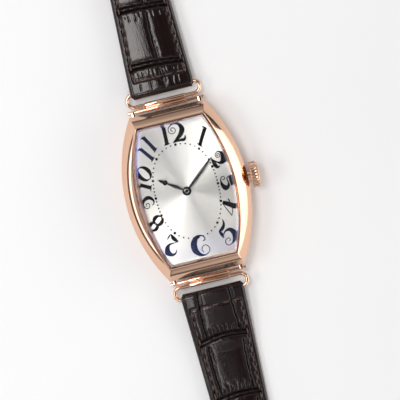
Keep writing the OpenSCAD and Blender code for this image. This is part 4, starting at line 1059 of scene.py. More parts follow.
@dataclass(frozen=True)
class DialPrint:
    """The printed hour numerals and the track of dots, which follows the case's outline."""

    dial_z: float = 5.3
    sunk: float = 0.02
    ink: float = 0.05
    track: tuple[float, float, float] = (11.88, 8.0, 2.35)
    small_dot: float = 0.2
    large_dot: float = 0.34
    fit: float = 0.985

    def stroke(self, rows: tuple[tuple[float, float, float], ...], lift: float) -> Shell:
        """Makes one pen stroke.

        The pen's line is a smooth line through the rows, drawn to the dial's middle by the share fit. Its
        edges lie half the pen's width to each side, square to the line.

        Args:
            rows: x, y and pen width for each control point.
            lift: how far the ink stands over the dial.

        Returns:
            The closed shell.
        """
        line = smooth_path(np.array(rows) * [self.fit, self.fit, 1], 7)
        along = np.gradient(line[:, :2], axis=0)
        along /= np.linalg.norm(along, axis=1)[:, None] + 1e-12
        side = np.column_stack([-along[:, 1], along[:, 0]]) * line[:, 2:] / 2
        left, right = line[:, :2] + side, line[:, :2] - side
        low, high = self.dial_z - self.sunk, self.dial_z + lift
        corners = ((left, low), (right, low), (right, high), (left, high))
        return grid(np.stack([at_height(edge, z) for edge, z in corners], 1))

    def numeral(self, digits: str) -> Shell:
        """Returns a numeral's strokes, each a little lower than the last, so that none flickers."""
        lifts = self.ink - 0.003 * np.arange(9)
        return join([self.stroke(rows, lift) for rows, lift in zip(STROKES[digits], lifts)])

    def track_point(self, minute: np.ndarray) -> np.ndarray:
        """Finds where the minutes' dots lie.

        The track is a superellipse: along the direction of the minute, its radius is the reciprocal of
        the p-th root of (sin / half width) to the p plus (cos / half length) to the p.

        Args:
            minute: minutes after twelve.

        Returns:
            Their points on the dial, (n, 2).
        """
        a = TURN * minute / 60
        half_y, half_x, p = self.track
        radius = (np.abs(np.sin(a) / half_x) ** p + np.abs(np.cos(a) / half_y) ** p) ** (-1 / p)
        return np.column_stack([radius * np.sin(a), radius * np.cos(a)])

    def dots(self, every: np.ndarray, radius: float) -> Shell:
        """Makes low round dots, each a short drum with a smaller top.

        Args:
            every: the minutes that get one.
            radius: radius of a dot.

        Returns:
            The closed shells as one.
        """
        rows = [(1.0, -self.sunk), (1.0, self.ink * 0.6), (0.85, self.ink)]
        dot = grid(np.array([at_height(circle(14) * radius * share, z) for share, z in rows]))
        places = self.track_point(every)
        return join([dot.moved((float(x), float(y), self.dial_z)) for x, y in places])

    def build(self, finishes: Finishes) -> None:
        """Builds the printed marks as pieces on the case.

        Args:
            finishes: the finishes of the watch.
        """
        marks = {"numeral_" + digits: self.numeral(digits) for digits in STROKES}
        minutes = np.arange(60)
        marks["minute_dots"] = self.dots(minutes[minutes % 5 != 0], self.small_dot)
        marks["hour_dots"] = self.dots(minutes[minutes % 5 == 0], self.large_dot)
        for name, shell in marks.items():
            mesh_piece(name, shell, finishes.ink, "case", "blued_steel")


@dataclass(frozen=True)
class Hands:
    """The black hour and minute hands, each a thin bar with a ridged top, and the cap on their hub."""

    hour_z: float = 5.75
    minute_z: float = 6.25
    thick: float = 0.2
    hour_disc_at: float = 5.8
    hour_disc_r: float = 0.62
    hour_angle: float = 304.0
    minute_angle: float = 49.6

    def blade(self, widths: np.ndarray, z: float) -> Shell:
        """Makes a blade along X whose section is a flat base and a roof with a ridge along the middle.

        Args:
            widths: x and half width for each section.
            z: height of the base.

        Returns:
            The closed shell.
        """
        across = np.array([-1, 1, 1, 0.55, 0, -0.55, -1])
        roof = np.array([0, 0, 0.45, 0.85, 1.0, 0.85, 0.45])
        return grid(surface(widths[:, :1], widths[:, 1:] * across, z + self.thick * roof))

    def ring_disc(self, outer: float, inner: float, z: float, height: float) -> Shell:
        """Makes a flat ring with rounded rims about the Z axis.

        Args:
            outer: its outer radius.
            inner: its inner radius.
            z: height of its base.
            height: its thickness.

        Returns:
            The closed shell.
        """
        section = rounded_box(outer - inner, height, min(height, outer - inner) * 0.32, 4)
        return lathe(section + [(outer + inner) / 2, z + height / 2], 48)

    def hour(self) -> Shell:
        """Makes the hour hand: hub, neck, disc with its eye, and leaf tip.

        Returns:
            The closed shells as one, turned to its hour.
        """
        neck = smooth_path(np.array([[1.0, 0.2], [1.9, 0.3], [3.1, 0.39], [4.3, 0.27], [5.3, 0.14]]), 5)
        tip = smooth_path(np.array([[6.3, 0.38], [6.7, 0.36], [7.1, 0.25], [7.55, 0.11], [7.9, 0.03]]), 5)
        hub = self.ring_disc(1.15, 0.81, self.hour_z, self.thick)
        disc = self.ring_disc(self.hour_disc_r, 0.08, self.hour_z, self.thick)
        parts = [self.blade(neck, self.hour_z), self.blade(tip, self.hour_z), hub,
                 disc.moved((self.hour_disc_at, 0, 0))]
        return join(parts).turned(90 - self.hour_angle)

    def minute(self) -> Shell:
        """Makes the minute hand: hub and a slim blade that tapers to its tip.

        Returns:
            The closed shells as one, turned to its minute.
        """
        line = np.array([[0.85, 0.24], [2.0, 0.33], [5.0, 0.37], [8.0, 0.28], [9.8, 0.17], [10.6, 0.03]])
        parts = [self.blade(line, self.minute_z), self.ring_disc(1.0, 0.46, self.minute_z, self.thick)]
        return join(parts).turned(90 - self.minute_angle)

    def cap(self, inner: float, outer: float, height: float) -> Shell:
        """Returns a ring of the small cap on the hub."""
        return self.ring_disc(outer, inner, self.minute_z + self.thick + 0.01, height)

    def build(self, finishes: Finishes) -> None:
        """Builds both hands on their own bodies.

        Args:
            finishes: the finishes of the watch.
        """
        black = finishes.hand_black
        for word, shell in (("hour", self.hour()), ("minute", self.minute())):
            body = word + "_hand"
            mesh_piece(body + "_shaped", shell, black, body, "blued_steel", (body,))
        for part, shell, finish in (("ring", self.cap(0.4, 0.6, 0.12), finishes.steel),
                                    ("core", self.cap(0.03, 0.4, 0.06), black)):
            mesh_piece("minute_hub_" + part, shell, finish, "minute_hand", "blued_steel")


# Crown, lug bars, links and loops


@dataclass(frozen=True)
class Crown:
    """The fluted crown with its domed cap."""

    x: float = 16.5
    z: float = 3.5
    radius: float = 3.3
    rim: float = 1.7
    cap: float = 0.75
    flutes: int = 28
    flute_r: float = 0.25
    flute_share: float = 0.62
    rim_round: float = 0.18
    step: float = 0.12
    bore: float = 1.05

    def shell(self) -> Shell:
        """Makes the crown, a ring of sections round the X axis.

        The section runs from the bore out over the back face, along the rim, over a step and up the dome
        to the middle. Each of its rows says how far out it lies, its radius, and the share of the flutes
        there. A flute takes a share of the depth of a circle of flute_r about the rim's edge, faded at its
        sides, and each end of the rim is rounded by a quarter circle.

        Returns:
            The closed shell.
        """
        around = self.flutes * 16
        a = TURN * np.arange(around) / around
        off = (np.mod(a / TURN * self.flutes + 0.5, 1) - 0.5) * TURN / self.flutes * self.radius
        depth = np.sqrt(np.maximum(self.flute_r ** 2 - off ** 2, 0))
        cut = self.flute_share * depth * rise(self.flute_r - np.abs(off), 0, 0.05)
        share = np.linspace(0, 1, 6)
        quarter = share * math.pi / 2
        drop = self.rim_round * (1 - np.cos(quarter))
        reach = self.radius - self.rim_round + self.rim_round * np.sin(quarter)
        near = np.column_stack([drop, reach, share])
        far = np.column_stack([self.rim - drop, reach, share])[::-1]
        edge = self.radius - self.flute_r - self.step
        up = np.linspace(0.0, 1.0, 14)[1:] * math.pi / 2
        top = self.rim + 0.1 + (self.cap - 0.12) * np.sin(up) ** 0.9
        dome = surface(top, edge * np.cos(up) + 0.01, 0.0)
        table = np.vstack([
            [[0.06, self.bore, 0.0], [0.0, self.bore + 0.05, 0.0]], near, far,
            [[self.rim + 0.02, edge, 0.0], [self.rim + 0.1, edge, 0.0]], dome])
        radius = table[:, 1:2] - table[:, 2:3] * cut[None]
        return grid(surface(table[:, :1] + self.x, radius * np.cos(a), self.z + radius * np.sin(a)))

    def build(self, finishes: Finishes) -> None:
        """Builds the crown."""
        mesh_piece("crown_fluted", self.shell(), finishes.rose_gold, "crown", "rose_gold", ("crown",), 32)


class End(Enum):
    """An end of the watch: the sign of its Y and the word in its pieces' names."""

    UPPER = (1, "upper")
    LOWER = (-1, "lower")

    @property
    def sign(self) -> int:
        """Returns 1 at twelve o'clock and -1 at six."""
        return self.value[0]

    @property
    def word(self) -> str:
        """Returns the word in the names of its bodies and nodes."""
        return self.value[1]


@dataclass(frozen=True)
class LugSet:
    """The fixed bar, the double link and the wire loop that carry one strap half."""

    end: End
    bar_y: float = 22.2
    stub_y: float = 23.4
    wire_y: float = 26.7
    z: float = 2.3
    bar_r: float = 0.4
    bar_barrel_r: float = 0.54
    stub_barrel_r: float = 0.62
    wire_r: float = 0.5
    bar_length: float = 19.7
    link_length: float = 10.3
    bend_x: float = 7.7
    stub_x: float = 4.0

    def link(self) -> Shell:
        """Makes the link: two barrels side by side and the web between them.

        Returns:
            The closed shells as one.
        """
        half = self.link_length / 2
        barrels = [rod((-half, y, self.z), (half, y, self.z), radius, 0.1)
                   for y, radius in ((self.bar_y, self.bar_barrel_r), (self.stub_y, self.stub_barrel_r))]
        web = slab(rounded_box(self.link_length - 0.3, 1.0, 0.1), self.z - 0.24, self.z + 0.24, 0.03)
        return join(barrels + [web.moved((0, (self.bar_y + self.stub_y) / 2, 0))])

    def loop(self) -> Shell:
        """Makes the wire loop, one tube along a path.

        The path leaves the link on one side, turns through a half circle to the outer bar, runs along
        that, turns back, and ends in the link on the other side.

        Returns:
            The closed shell.
        """
        r = (self.wire_y - self.stub_y) / 2
        turn = half_turn(33)
        bend = np.column_stack([self.bend_x + r * np.cos(turn), self.stub_y + r + r * np.sin(turn)])
        start = np.column_stack([np.linspace(self.stub_x, self.bend_x, 10)[:-1], np.full(9, self.stub_y)])
        bar = np.column_stack([np.linspace(self.bend_x, -self.bend_x, 22)[1:-1], np.full(20, self.wire_y)])
        path = there_and_back(np.vstack([start, bend]), bar, self.z)
        return sweep(path, circle(28) * self.wire_r, (0, 0, 1))

    def build(self, finishes: Finishes) -> None:
        """Builds the bar, link and loop of this end.

        Args:
            finishes: the finishes of the watch.
        """
        word, half = self.end.word, self.bar_length / 2
        bar = rod((-half, self.bar_y, self.z), (half, self.bar_y, self.z), self.bar_r, 0.12)
        for name, shell, body, node in (
                ("_bar", bar, "case", "_lug_bar"),
                ("_link_barrels", self.link(), word + "_link", "_lug_link"),
                ("_loop_wire", self.loop(), word + "_loop", "_wire_loop")):
            shell = shell.scaled((1, self.end.sign, 1))
            mesh_piece(word + name, shell, finishes.rose_gold, body, "rose_gold", (word + node,))


# Strap, keepers and buckle


@dataclass(frozen=True)
class Line:
    """A pressed furrow: a line between two points of a strap half, its width, depth and bow."""

    start: tuple[float, float]
    end: tuple[float, float]
    width: float
    depth: float
    bow: float = 0.0


def strap_lines(end: End) -> tuple[Line, ...]:
    """Lists the furrows of a strap half, with y measured from the wire towards the strap's end.

    Pairs of cross furrows follow each other at the pattern's pitch. Lengthwise furrows part each row into
    scales, and a thin line runs beside the start of each. Short ticks, 13 to a row, stand on the cross
    furrows. All of them sway by a sine, as a natural hide does. The upper half has four folds more where
    the leather leaves the wire.

    Args:
        end: the half.

    Returns:
        The furrows.
    """
    lower = end is End.LOWER
    edge = 8.4
    pitch, first, last = (14.8, 11.8, 112.0) if lower else (14.3, 5.2, 62.0)
    along = (-4.1, 4.5) if lower else (0.8,)
    rows = [first + pitch * i + 0.5 * math.sin(2.1 * i) for i in range(int((last - first) / pitch) + 1)]
    found = []
    for i, y in enumerate(rows):
        bow = -1.5 + 0.3 * math.sin(2 * i) if lower else 0.6 * math.sin(1.7 * i + 1)
        found.append(Line((-edge, y + 0.6), (edge, y - 0.2), 0.42, 0.5, bow))
        found.append(Line((-edge, y + 1.7), (edge, y + 0.7), 0.3, 0.42, bow))
    stops = [-3.0 if lower else -1.0] + rows + [last + 6]
    for i, (a, b) in enumerate(zip(stops[:-1], stops[1:])):
        for x in along:
            sway = 0.35 * math.sin(2.3 * i + x)
            found.append(Line((x + sway, a + 1.2), (x - 0.6 * sway, b - 0.6), 0.22, 0.4, 0.25))
            found.append(Line((x + sway + 0.5, a + 1.6), (x + 0.4, a + 6.5), 0.14, 0.14, -0.2))
    for x, reach in () if lower else ((-5.1, 1.9), (-2.2, 3.3), (3.3, 2.4), (4.6, 4.0)):
        found.append(Line((x, 0.1), (x + 0.1 * reach, reach), 0.18, 0.12, 0.1))
    for i, y in enumerate(rows):
        for j, x in enumerate(np.linspace(-5.9, 6.1, 13)):
            reach = 1.6 + 0.6 * math.sin(3.1 * j + i)
            foot = y - 1.5 * math.cos(x / edge * math.pi / 2) if lower else y
            side = -1 if lower or j % 3 else 1
            found.append(Line((x, foot + side * 0.2), (x + 0.15 * math.sin(j + i), foot + side * reach),
                              *((0.19, 0.24) if lower else (0.15, 0.12))))
    return tuple(found)


def write_furrows(piece: bpy.types.Object, values: np.ndarray) -> None:
    """Writes the attribute furrow, one number for each point, which the leather's finish reads for its
    painted shade, roughness and mirror.
    """
    layer = piece.data.attributes.new("furrow", "FLOAT", "POINT")
    layer.data.foreach_set("value", values.astype(np.float32))


@dataclass(frozen=True)
class StrapHalf:
    """A padded strap half: glazed leather over a filler, folded round the wire, sewn, and lined."""

    end: End
    length: float
    base: float
    wire_y: float = 26.7
    lug_z: float = 2.3
    nose_r: float = 1.45
    width: float = 16.2
    tip_width: float = 14.0
    taper: float = 32.0
    ease: float = 15.0
    thick: float = 2.2
    cushion: float = 0.55
    groove: float = 0.26
    groove_w: float = 0.34
    lining: float = 0.6
    lining_start: float = 3.0
    margin: float = 1.5
    thread_pitch: float = 2.4
    stitch: float = 1.6
    stitch_start: float = 3.4
    cross_y: float = 2.9
    pin_fold_r: float = 1.35
    slot_gap: float = 7.35
    hole_y: float = 93.0
    hole_pitch: float = 6.5
    hole_r: float = 0.9
    slot_y: float = 71.5
    slot_x: float = 1.4
    columns: int = 112
    step: float = 0.26

    def half_width(self, y: np.ndarray) -> np.ndarray:
        """Finds half the width of the strap.

        It is even to 1 mm past the wire and then falls on a straight line to the tip's width. The nose's
        corners are rounded. At the lower half's tip it falls again, on two straight lines to a soft point.

        Args:
            y: distances from the wire.

        Returns:
            Half the width at each.
        """
        half = np.interp(y, [1.0, self.taper], [self.width / 2, self.tip_width / 2])
        half = half - 0.55 * rise(-y, 0.1, self.nose_r) ** 2
        if self.end is End.LOWER:
            tip = np.interp(y, [self.length - 9, self.length - 2.7, self.length], [1.0, 0.54, 0.0])
            half = half * np.maximum(tip, 0.02)
        return half

    def levels(self, y: np.ndarray) -> tuple[np.ndarray, np.ndarray]:
        """Finds the heights of the underside and of the top.

        They run on straight lines from the nose's circle to the level strap over the ease length. Round
        the nose itself the circle gives both: lug height less and plus the root of r r - y y. The upper
        half ends in a second circle about the buckle's pin.

        Args:
            y: distances from the wire.

        Returns:
            The underside's height and the top's height at each.
        """
        ends = [0.0, self.ease]
        low = np.interp(y, ends, [self.lug_z - self.nose_r, self.base])
        high = np.interp(y, ends, [self.lug_z + self.nose_r, self.base + self.thick])
        bend = np.sqrt(np.maximum(self.nose_r ** 2 - y ** 2, 0.0))
        low = np.where(y < 0, self.lug_z - bend, low)
        high = np.where(y < 0, self.lug_z + bend, high)
        if self.end is End.UPPER:
            middle = self.base + self.thick / 2
            past = np.sqrt(np.maximum(self.pin_fold_r ** 2 - (y - self.length) ** 2, 0.0))
            low = np.where(y > self.length, middle - past, low)
            high = np.where(y > self.length, middle + past, high)
        return low, high

    def furrows(self, x: np.ndarray, y: np.ndarray) -> np.ndarray:
        """Finds how deep the furrows are at points of the top.

        A furrow takes its depth times exp(-2.2 (d / width) squared), plus a shoulder a quarter as deep and
        five times as wide, which rounds the scales. Here d is the distance to its line, bowed by a sine and
        wavering a little. The deepest of all furrows holds at each point.

        Args:
            x: places across the strap.
            y: distances from the wire, one for each row of x.

        Returns:
            The depth at each point of x, 0 to about 0.6 mm.
        """
        deep = np.zeros(x.shape)
        for line in strap_lines(self.end):
            start, end = np.array(line.start), np.array(line.end)
            way = end - start
            length = math.hypot(*way)
            t = ((x - start[0]) * way[0] + (y - start[1]) * way[1]) / length ** 2
            off = ((x - start[0]) * -way[1] + (y - start[1]) * way[0]) / length
            off -= line.bow * np.sin(math.pi * np.clip(t, 0, 1))
            off += 0.05 * np.sin(2.7 * x + 1.9 * y) + 0.03 * np.sin(5.1 * y - 3.3 * x)
            past = np.maximum(np.abs(t - 0.5) - 0.5, 0) * length
            d = np.sqrt(off ** 2 + past ** 2)
            here = np.exp(-(d / line.width) ** 2 * 2.2) + 0.25 * np.exp(-(d / line.width / 5) ** 2 * 2.2)
            deep = np.maximum(deep, line.depth * here)
        return deep

    def placed(self, points: np.ndarray) -> np.ndarray:
        """Returns points of this half in the frame's axes, from y measured from the wire."""
        return points * [1, self.end.sign, 1] + [0, self.end.sign * self.wire_y, 0]

    def body(self) -> tuple[Shell, np.ndarray]:
        """Makes the strap's outer leather.

        Each section across the strap is a row of points over the top and a row under it. The top is a
        cushion: its height over the underside is the thickness less a crown's fall with the square of x,
        less a rounded edge, less the groove in which the edge stitches lie and which puckers between them,
        less the furrows, less a cross groove for the stitches behind the wire. Grooves and furrows fade
        towards the edges, the wire and the buckle. Under the top, the leather stops at the lining from
        lining_start on.

        Returns:
            The closed shell, and for each of its points 0 on the scales to 1 in a furrow.
        """
        tail = self.length + (self.pin_fold_r if self.end is End.UPPER else -0.02)
        nose = -self.nose_r * np.cos(quarter_turn(14))[:-1]
        body = np.arange(0.0, self.length - 0.1, self.step)
        stop = np.linspace(self.length, tail - 0.01, 10) if self.end is End.UPPER else np.array([tail])
        y = np.concatenate([nose + 0.002, body, stop])
        low, high = self.levels(y)
        half = self.half_width(y)
        y = y[:, None]
        low, high, half = low[:, None], high[:, None], half[:, None]
        thick = high - low
        x = half * np.sin(half_turn(self.columns))
        side = half - np.abs(x)
        fall = 0.45 * (1 - np.sin(np.clip(side / 1.3, 0, 1) * math.pi / 2)) ** 1.6
        fall = fall + self.cushion * (x / half) ** 2
        beat = np.cos(TURN * (y - self.stitch_start) / self.thread_pitch)
        groove = self.groove * (1 + 0.6 * beat + 0.2 * np.sin(3.7 * y)) * rise(y, 2.6, 4.5)
        groove = groove * np.exp(-((side - self.margin) / self.groove_w) ** 2)
        deep = self.furrows(x, y) * rise(side, 0.5, 1.9)
        if self.end is End.LOWER:
            deep *= rise(y, -1.3, -0.9)
        else:
            groove *= 1 - rise(y, self.length - 10, self.length - 7)
            deep *= rise(y, -0.8, 1.4) * (1 - rise(y, self.length - 9, self.length - 5))
        cross = 0.22 * np.exp(-((y - self.cross_y) / 0.4) ** 2) * rise(side, 1.0, 1.8)
        drop = np.minimum(fall + groove + deep + cross, thick * 0.72) + 0.02
        gap = 0.0 if self.end is End.LOWER else self.slot_gap
        lined = (y >= self.lining_start) & (y <= self.length - gap)
        floor = np.where(lined, low + thick * (self.lining / self.thick + 0.004), low)
        top = np.maximum(high - drop, floor + 0.15 * thick)
        under = x[:, ::-8]
        inset = np.minimum(0.12, 0.3 * half) * np.sign(under)
        rows = np.concatenate([surface(x, y, top), surface(under - inset, y, floor)], 1)
        # painted shade: furrows and stitch grooves get a furrow value that darkens their colour; the
        # underside gets 0.5
        furrow = np.concatenate([
            np.clip((deep + groove * 0.5 + cross * 0.6 - 0.1) / 0.25, 0, 1), np.full(under.shape, 0.5)], 1)
        return grid(self.placed(rows)), np.concatenate([furrow.ravel(), [0.5, 0.5]])

    def lining_shell(self) -> Shell:
        """Makes the lining: a strip under the leather with a rounded edge, a little inside its outline.

        Returns:
            The closed shell.
        """
        last = self.length - (0.05 if self.end is End.LOWER else self.slot_gap)
        y = np.concatenate([np.arange(self.lining_start, last - 1.0, 1.2), np.linspace(last - 1.0, last, 8)])
        low, high = self.levels(y)
        half = np.maximum(self.half_width(y) - 0.06, 0.05)[:, None]
        ceiling = (low + (high - low) * self.lining / self.thick)[:, None]
        y, low, across = y[:, None], low[:, None], np.linspace(-1, 1, 17)
        edge = 0.14 * (1 - np.sqrt(np.maximum(1 - ((np.abs(across) - 0.97) / 0.03).clip(0, 1) ** 2, 0)))
        top = surface(half * across, y, ceiling)
        under = surface(half * across[::-1] * 0.995, y, low + 0.01 + edge)
        return grid(self.placed(np.concatenate([top, under], 1)))

    def stitches(self) -> Shell:
        """Makes the threads, each a bent capsule that dips into the leather at both ends.

        Along a stitch its middle rises by 0.11 mm times the sine of its share of a half turn, and its
        radius swells from 0.06 to 0.21 mm by the root of the same sine. All stitches are one array, turned
        and shifted to their places along both edges and across behind the wire.

        Returns:
            The closed shells as one.
        """
        half = self.stitch / 2
        last = self.length - (12.0 if self.end is End.LOWER else 10.5)
        y = np.arange(self.stitch_start, last, self.thread_pitch)
        places, turns = [], []
        for side in (-1, 1):
            x = side * (self.half_width(y + half) - self.margin)
            places.append(np.column_stack([x, y + half]))
            slope = (self.half_width(y + self.stitch) - self.half_width(y)) * side / self.stitch
            turns.append(np.arctan2(1.0, slope))
        across = np.linspace(-self.width / 2 + 2.7, self.width / 2 - 2.7, 5)
        places.append(np.column_stack([across, np.full(5, self.cross_y)]))
        turns.append(np.zeros(5))
        place, turn = np.concatenate(places), np.concatenate(turns)[:, None]
        s = np.linspace(0, math.pi, 7)[:, None]
        round_x, round_y = circle(8).T
        radius = 0.06 + 0.15 * np.sin(s) ** 0.5
        lift = 0.11 * np.sin(s) - 0.17
        unit = grid(surface(-half * np.cos(s), radius * round_x, lift + radius * round_y))
        px, py, pz = unit.points.T
        crown = self.cushion * (place[:, :1] / self.half_width(place[:, 1])[:, None]) ** 2
        high = self.levels(place[:, 1])[1][:, None]
        points = self.placed(surface(
            place[:, :1] + px * np.cos(turn) - py * np.sin(turn),
            place[:, 1:] + px * np.sin(turn) + py * np.cos(turn), high - crown - 0.12 + pz))
        starts = (np.arange(len(place)) * len(px))[:, None, None]
        faces = tuple((f[None] + starts).reshape(-1, f.shape[1]) for f in unit.faces)
        return Shell(points.reshape(-1, 3), faces).outward()

    def holes(self) -> Shell:
        """Returns the punches for the row of holes, seven upright rods on the middle line."""
        y = -(self.wire_y + self.hole_y - self.hole_pitch * np.arange(7))
        return join([rod((0, float(at), -1), (0, float(at), 4), self.hole_r, 0.1, 24) for at in y])

    def slot(self) -> Shell:
        """Makes the cutter for the tongue's slot, a tall block with round corners, open past the end.

        Returns:
            The closed shell.
        """
        low, high = self.wire_y + self.slot_y, self.wire_y + self.length + 3
        block = slab(rounded_box(2 * self.slot_x, high - low, 0.6), -1, 6, 0.01)
        return block.moved((0, (low + high) / 2, 0))

    def build(self, finishes: Finishes) -> None:
        """Builds the leather, lining and threads of this half.

        Args:
            finishes: the finishes of the watch.
        """
        word, body = self.end.word, self.end.word + "_strap"
        shell, furrow = self.body()
        leather = mesh_piece(word + "_leather", shell, finishes.leather, body, "strap_leather", (body,), 60)
        write_furrows(leather, furrow)
        lining = mesh_piece(word + "_lining_sheet", self.lining_shell(), finishes.lining, body,
                            "lining_leather", (word + "_lining",), 60)
        if self.end is End.LOWER:
            bore(leather, self.holes())
            bore(lining, self.holes())
        else:
            bore(leather, self.slot())
        mesh_piece(word + "_threads", self.stitches(), finishes.thread, body, "strap_leather", (), 60)


@dataclass(frozen=True)
class Keeper:
    """A leather band with rounded edges that holds the lower half's end."""

    name: str
    y: float
    low: float
    high: float
    body: str
    outer: float = 16.6
    thick: float = 1.0
    length: float = 5.0
    corner_r: float = 0.75
    line_in: float = 0.8
    line_w: float = 0.2

    def build(self, finishes: Finishes) -> None:
        """Builds the band: its section carried round a rectangle with round corners.

        The section is flat inside. Outside it is a low crown with rounded edges and a pressed line near
        each edge: its thickness falls with the fourth power of the place across, and again by
        exp(-(d / line_w) squared), where d is the distance to a pressed line.

        Args:
            finishes: the finishes of the watch.
        """
        x, z = rounded_box(self.outer - self.thick, self.high - self.low - self.thick, self.corner_r, 8).T
        path = surface(x, np.full(1, self.y), z + (self.low + self.high) / 2)
        v = np.sin(half_turn(41))
        away = self.length / 2 * (1 - np.abs(v))
        line = np.exp(-((away - self.line_in) / self.line_w) ** 2)
        out = self.thick / 2 - 0.01 - 0.3 * v ** 4 - 0.4 * np.abs(v) ** 40 - 0.13 * line
        across = self.length / 2 * v
        section = np.vstack([np.column_stack([-out, across]),
                             np.column_stack([np.full(9, self.thick / 2 - 0.01), across[::-5] * 0.98])])
        band = mesh_piece(self.name + "_band", sweep(path, section, (0, 1, 0), True), finishes.leather,
                          self.body, "strap_leather", (self.name,), 60)
        # painted shade: the pressed lines take the leather's darker furrow colour; the inside is set to 0.6,
        # darker and duller
        write_furrows(band, np.tile(np.concatenate([0.7 * line, np.full(9, 0.6)]), len(path)))


@dataclass(frozen=True)
class Buckle:
    """The rose gold pin buckle: a round-edged frame and its tongue. Its pin keeps its own solid."""

    pin_y: float = 101.7
    pin_z: float = 2.25
    outer: float = 18.6
    inner: float = 14.8
    far: float = 111.3
    window: float = 109.1
    thick: float = 2.2
    corner_r: float = 1.4
    tongue_w: float = 1.6
    tongue_t: float = 0.8

    def frame_shell(self) -> Shell:
        """Makes the frame: a rounded section carried from one pin eye round to the other.

        The section's width goes from the side's 1.9 mm to the bar's 2.2 mm through the corners, and both
        ends are drawn in by three steps.

        Returns:
            The closed shell.
        """
        side_x = (self.outer + self.inner) / 4
        bar_y = (self.far + self.window) / 2
        r, a = self.corner_r, quarter_turn(12)
        corner = np.column_stack([side_x - r + r * np.cos(a), bar_y - r + r * np.sin(a)])
        leg = np.column_stack([np.full(12, side_x), np.linspace(self.pin_y - 1.0, bar_y - r, 13)[:-1]])
        bar = np.column_stack([np.linspace(side_x - r, r - side_x, 12)[1:-1], np.full(10, bar_y)])
        path = there_and_back(np.vstack([leg, corner]), bar, self.pin_z)
        steps = np.arange(len(path))
        end = np.minimum(steps, steps[::-1])
        width = 1.88 + 0.3 * rise(path[:, 1], bar_y - 2 * r, bar_y)
        width *= np.interp(end, [0, 1, 3], [0.72, 0.94, 1.0])
        height = (self.thick - 0.04) * np.interp(end, [0, 1, 3], [0.72, 0.92, 1.0])
        return sweep(path, scaled_sections(rounded_box(1.0, 1.0, 0.32, 6), width, height), (0, 0, 1))

    def tongue_shell(self) -> Shell:
        """Makes the tongue: an eye about the pin and a tapered blade that rests on the far bar.

        Returns:
            The closed shells as one.
        """
        over = self.pin_z + self.thick / 2 + 0.05
        middle = over + self.tongue_t / 2
        line = smooth_path(np.array([
            [self.pin_y + 0.9, self.pin_z + 0.45], [self.pin_y + 2.0, middle - 0.25],
            [self.pin_y + 4.0, middle], [self.window, middle], [self.far - 0.35, middle - 0.1]]), 8)
        path = np.column_stack([np.zeros(len(line)), line])
        share = np.linspace(0, 1, len(line))
        width = self.tongue_w * np.interp(share, [0, 0.8, 1], [0.98, 0.9, 0.6])
        height = self.tongue_t * np.interp(share, [0, 0.1, 0.8, 1], [0.8, 0.95, 0.85, 0.5])
        blade = sweep(path, scaled_sections(rounded_box(1.0, 1.0, 0.3, 5), width, height), (0, 0, 1))
        eye = lathe(rounded_box(0.4, self.tongue_w - 0.06, 0.12, 4) + [0.8, 0.0], 28).turned(90, 1)
        return join([blade, eye.moved((0, self.pin_y, self.pin_z))])

    def build(self, finishes: Finishes) -> None:
        """Builds the frame and the tongue.

        Args:
            finishes: the finishes of the watch.
        """
        for name, shell, body, node in (("buckle_bow", self.frame_shell(), "buckle", "buckle_frame"),
                                        ("buckle_blade", self.tongue_shell(), "tongue", "buckle_tongue")):
            mesh_piece(name, shell, finishes.rose_gold, body, "rose_gold", (node,))


# The nodes that keep their own solids, and the studio


@dataclass(frozen=True)
class Movement:
    """The hidden works and the small parts whose own solids stay, each with the finish of its metal."""

    def build(self, finishes: Finishes) -> None:
        """Gives each kept node its finish.

        Args:
            finishes: the finishes of the watch.
        """
        groups: tuple[tuple[bpy.types.Material, str], ...] = (
            (finishes.dial, "dial"),
            (finishes.back_gold, "case_back"),
            (finishes.rose_gold, "crown_tube"),
            (finishes.steel, "back_screws winding_stem buckle_pin bridge_screws barrel_arbor crown_wheel "
                             "ratchet_wheel click cannon_pinion setting_wheel winding_pinion sliding_pinion "
                             "setting_lever yoke pallet_fork escape_wheel hairspring mainspring"),
            (finishes.brushed_steel, "movement_ring main_plate barrel_bridge train_bridge balance_cock "
                                     "pallet_bridge"),
            (finishes.brass, "barrel centre_wheel third_wheel fourth_wheel minute_wheel hour_wheel "
                             "balance_wheel"),
            (finishes.rubber, "back_gasket crown_gasket"),
            (finishes.ruby, "jewels"))
        for finish, names in groups:
            for name in names.split():
                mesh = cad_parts[name].data
                mesh.materials.clear()
                mesh.materials.append(finish)
                log.info("%s: keeps its solid, finish %s", name, finish.name)


@dataclass(frozen=True)
class Lamp:
    """A soft square lamp: its place and aim in millimetres, its size, and its power in watts."""

    name: str
    place: tuple[float, float, float]
    aim: tuple[float, float, float]
    size: tuple[float, float]
    power: float
    color: str = "FFFFFF"


@dataclass(frozen=True)
class Window:
    """A soft round light in the room: its direction, where it starts and stops fading, and its strength."""

    way: tuple[float, float, float]
    near: float
    far: float
    glow: float


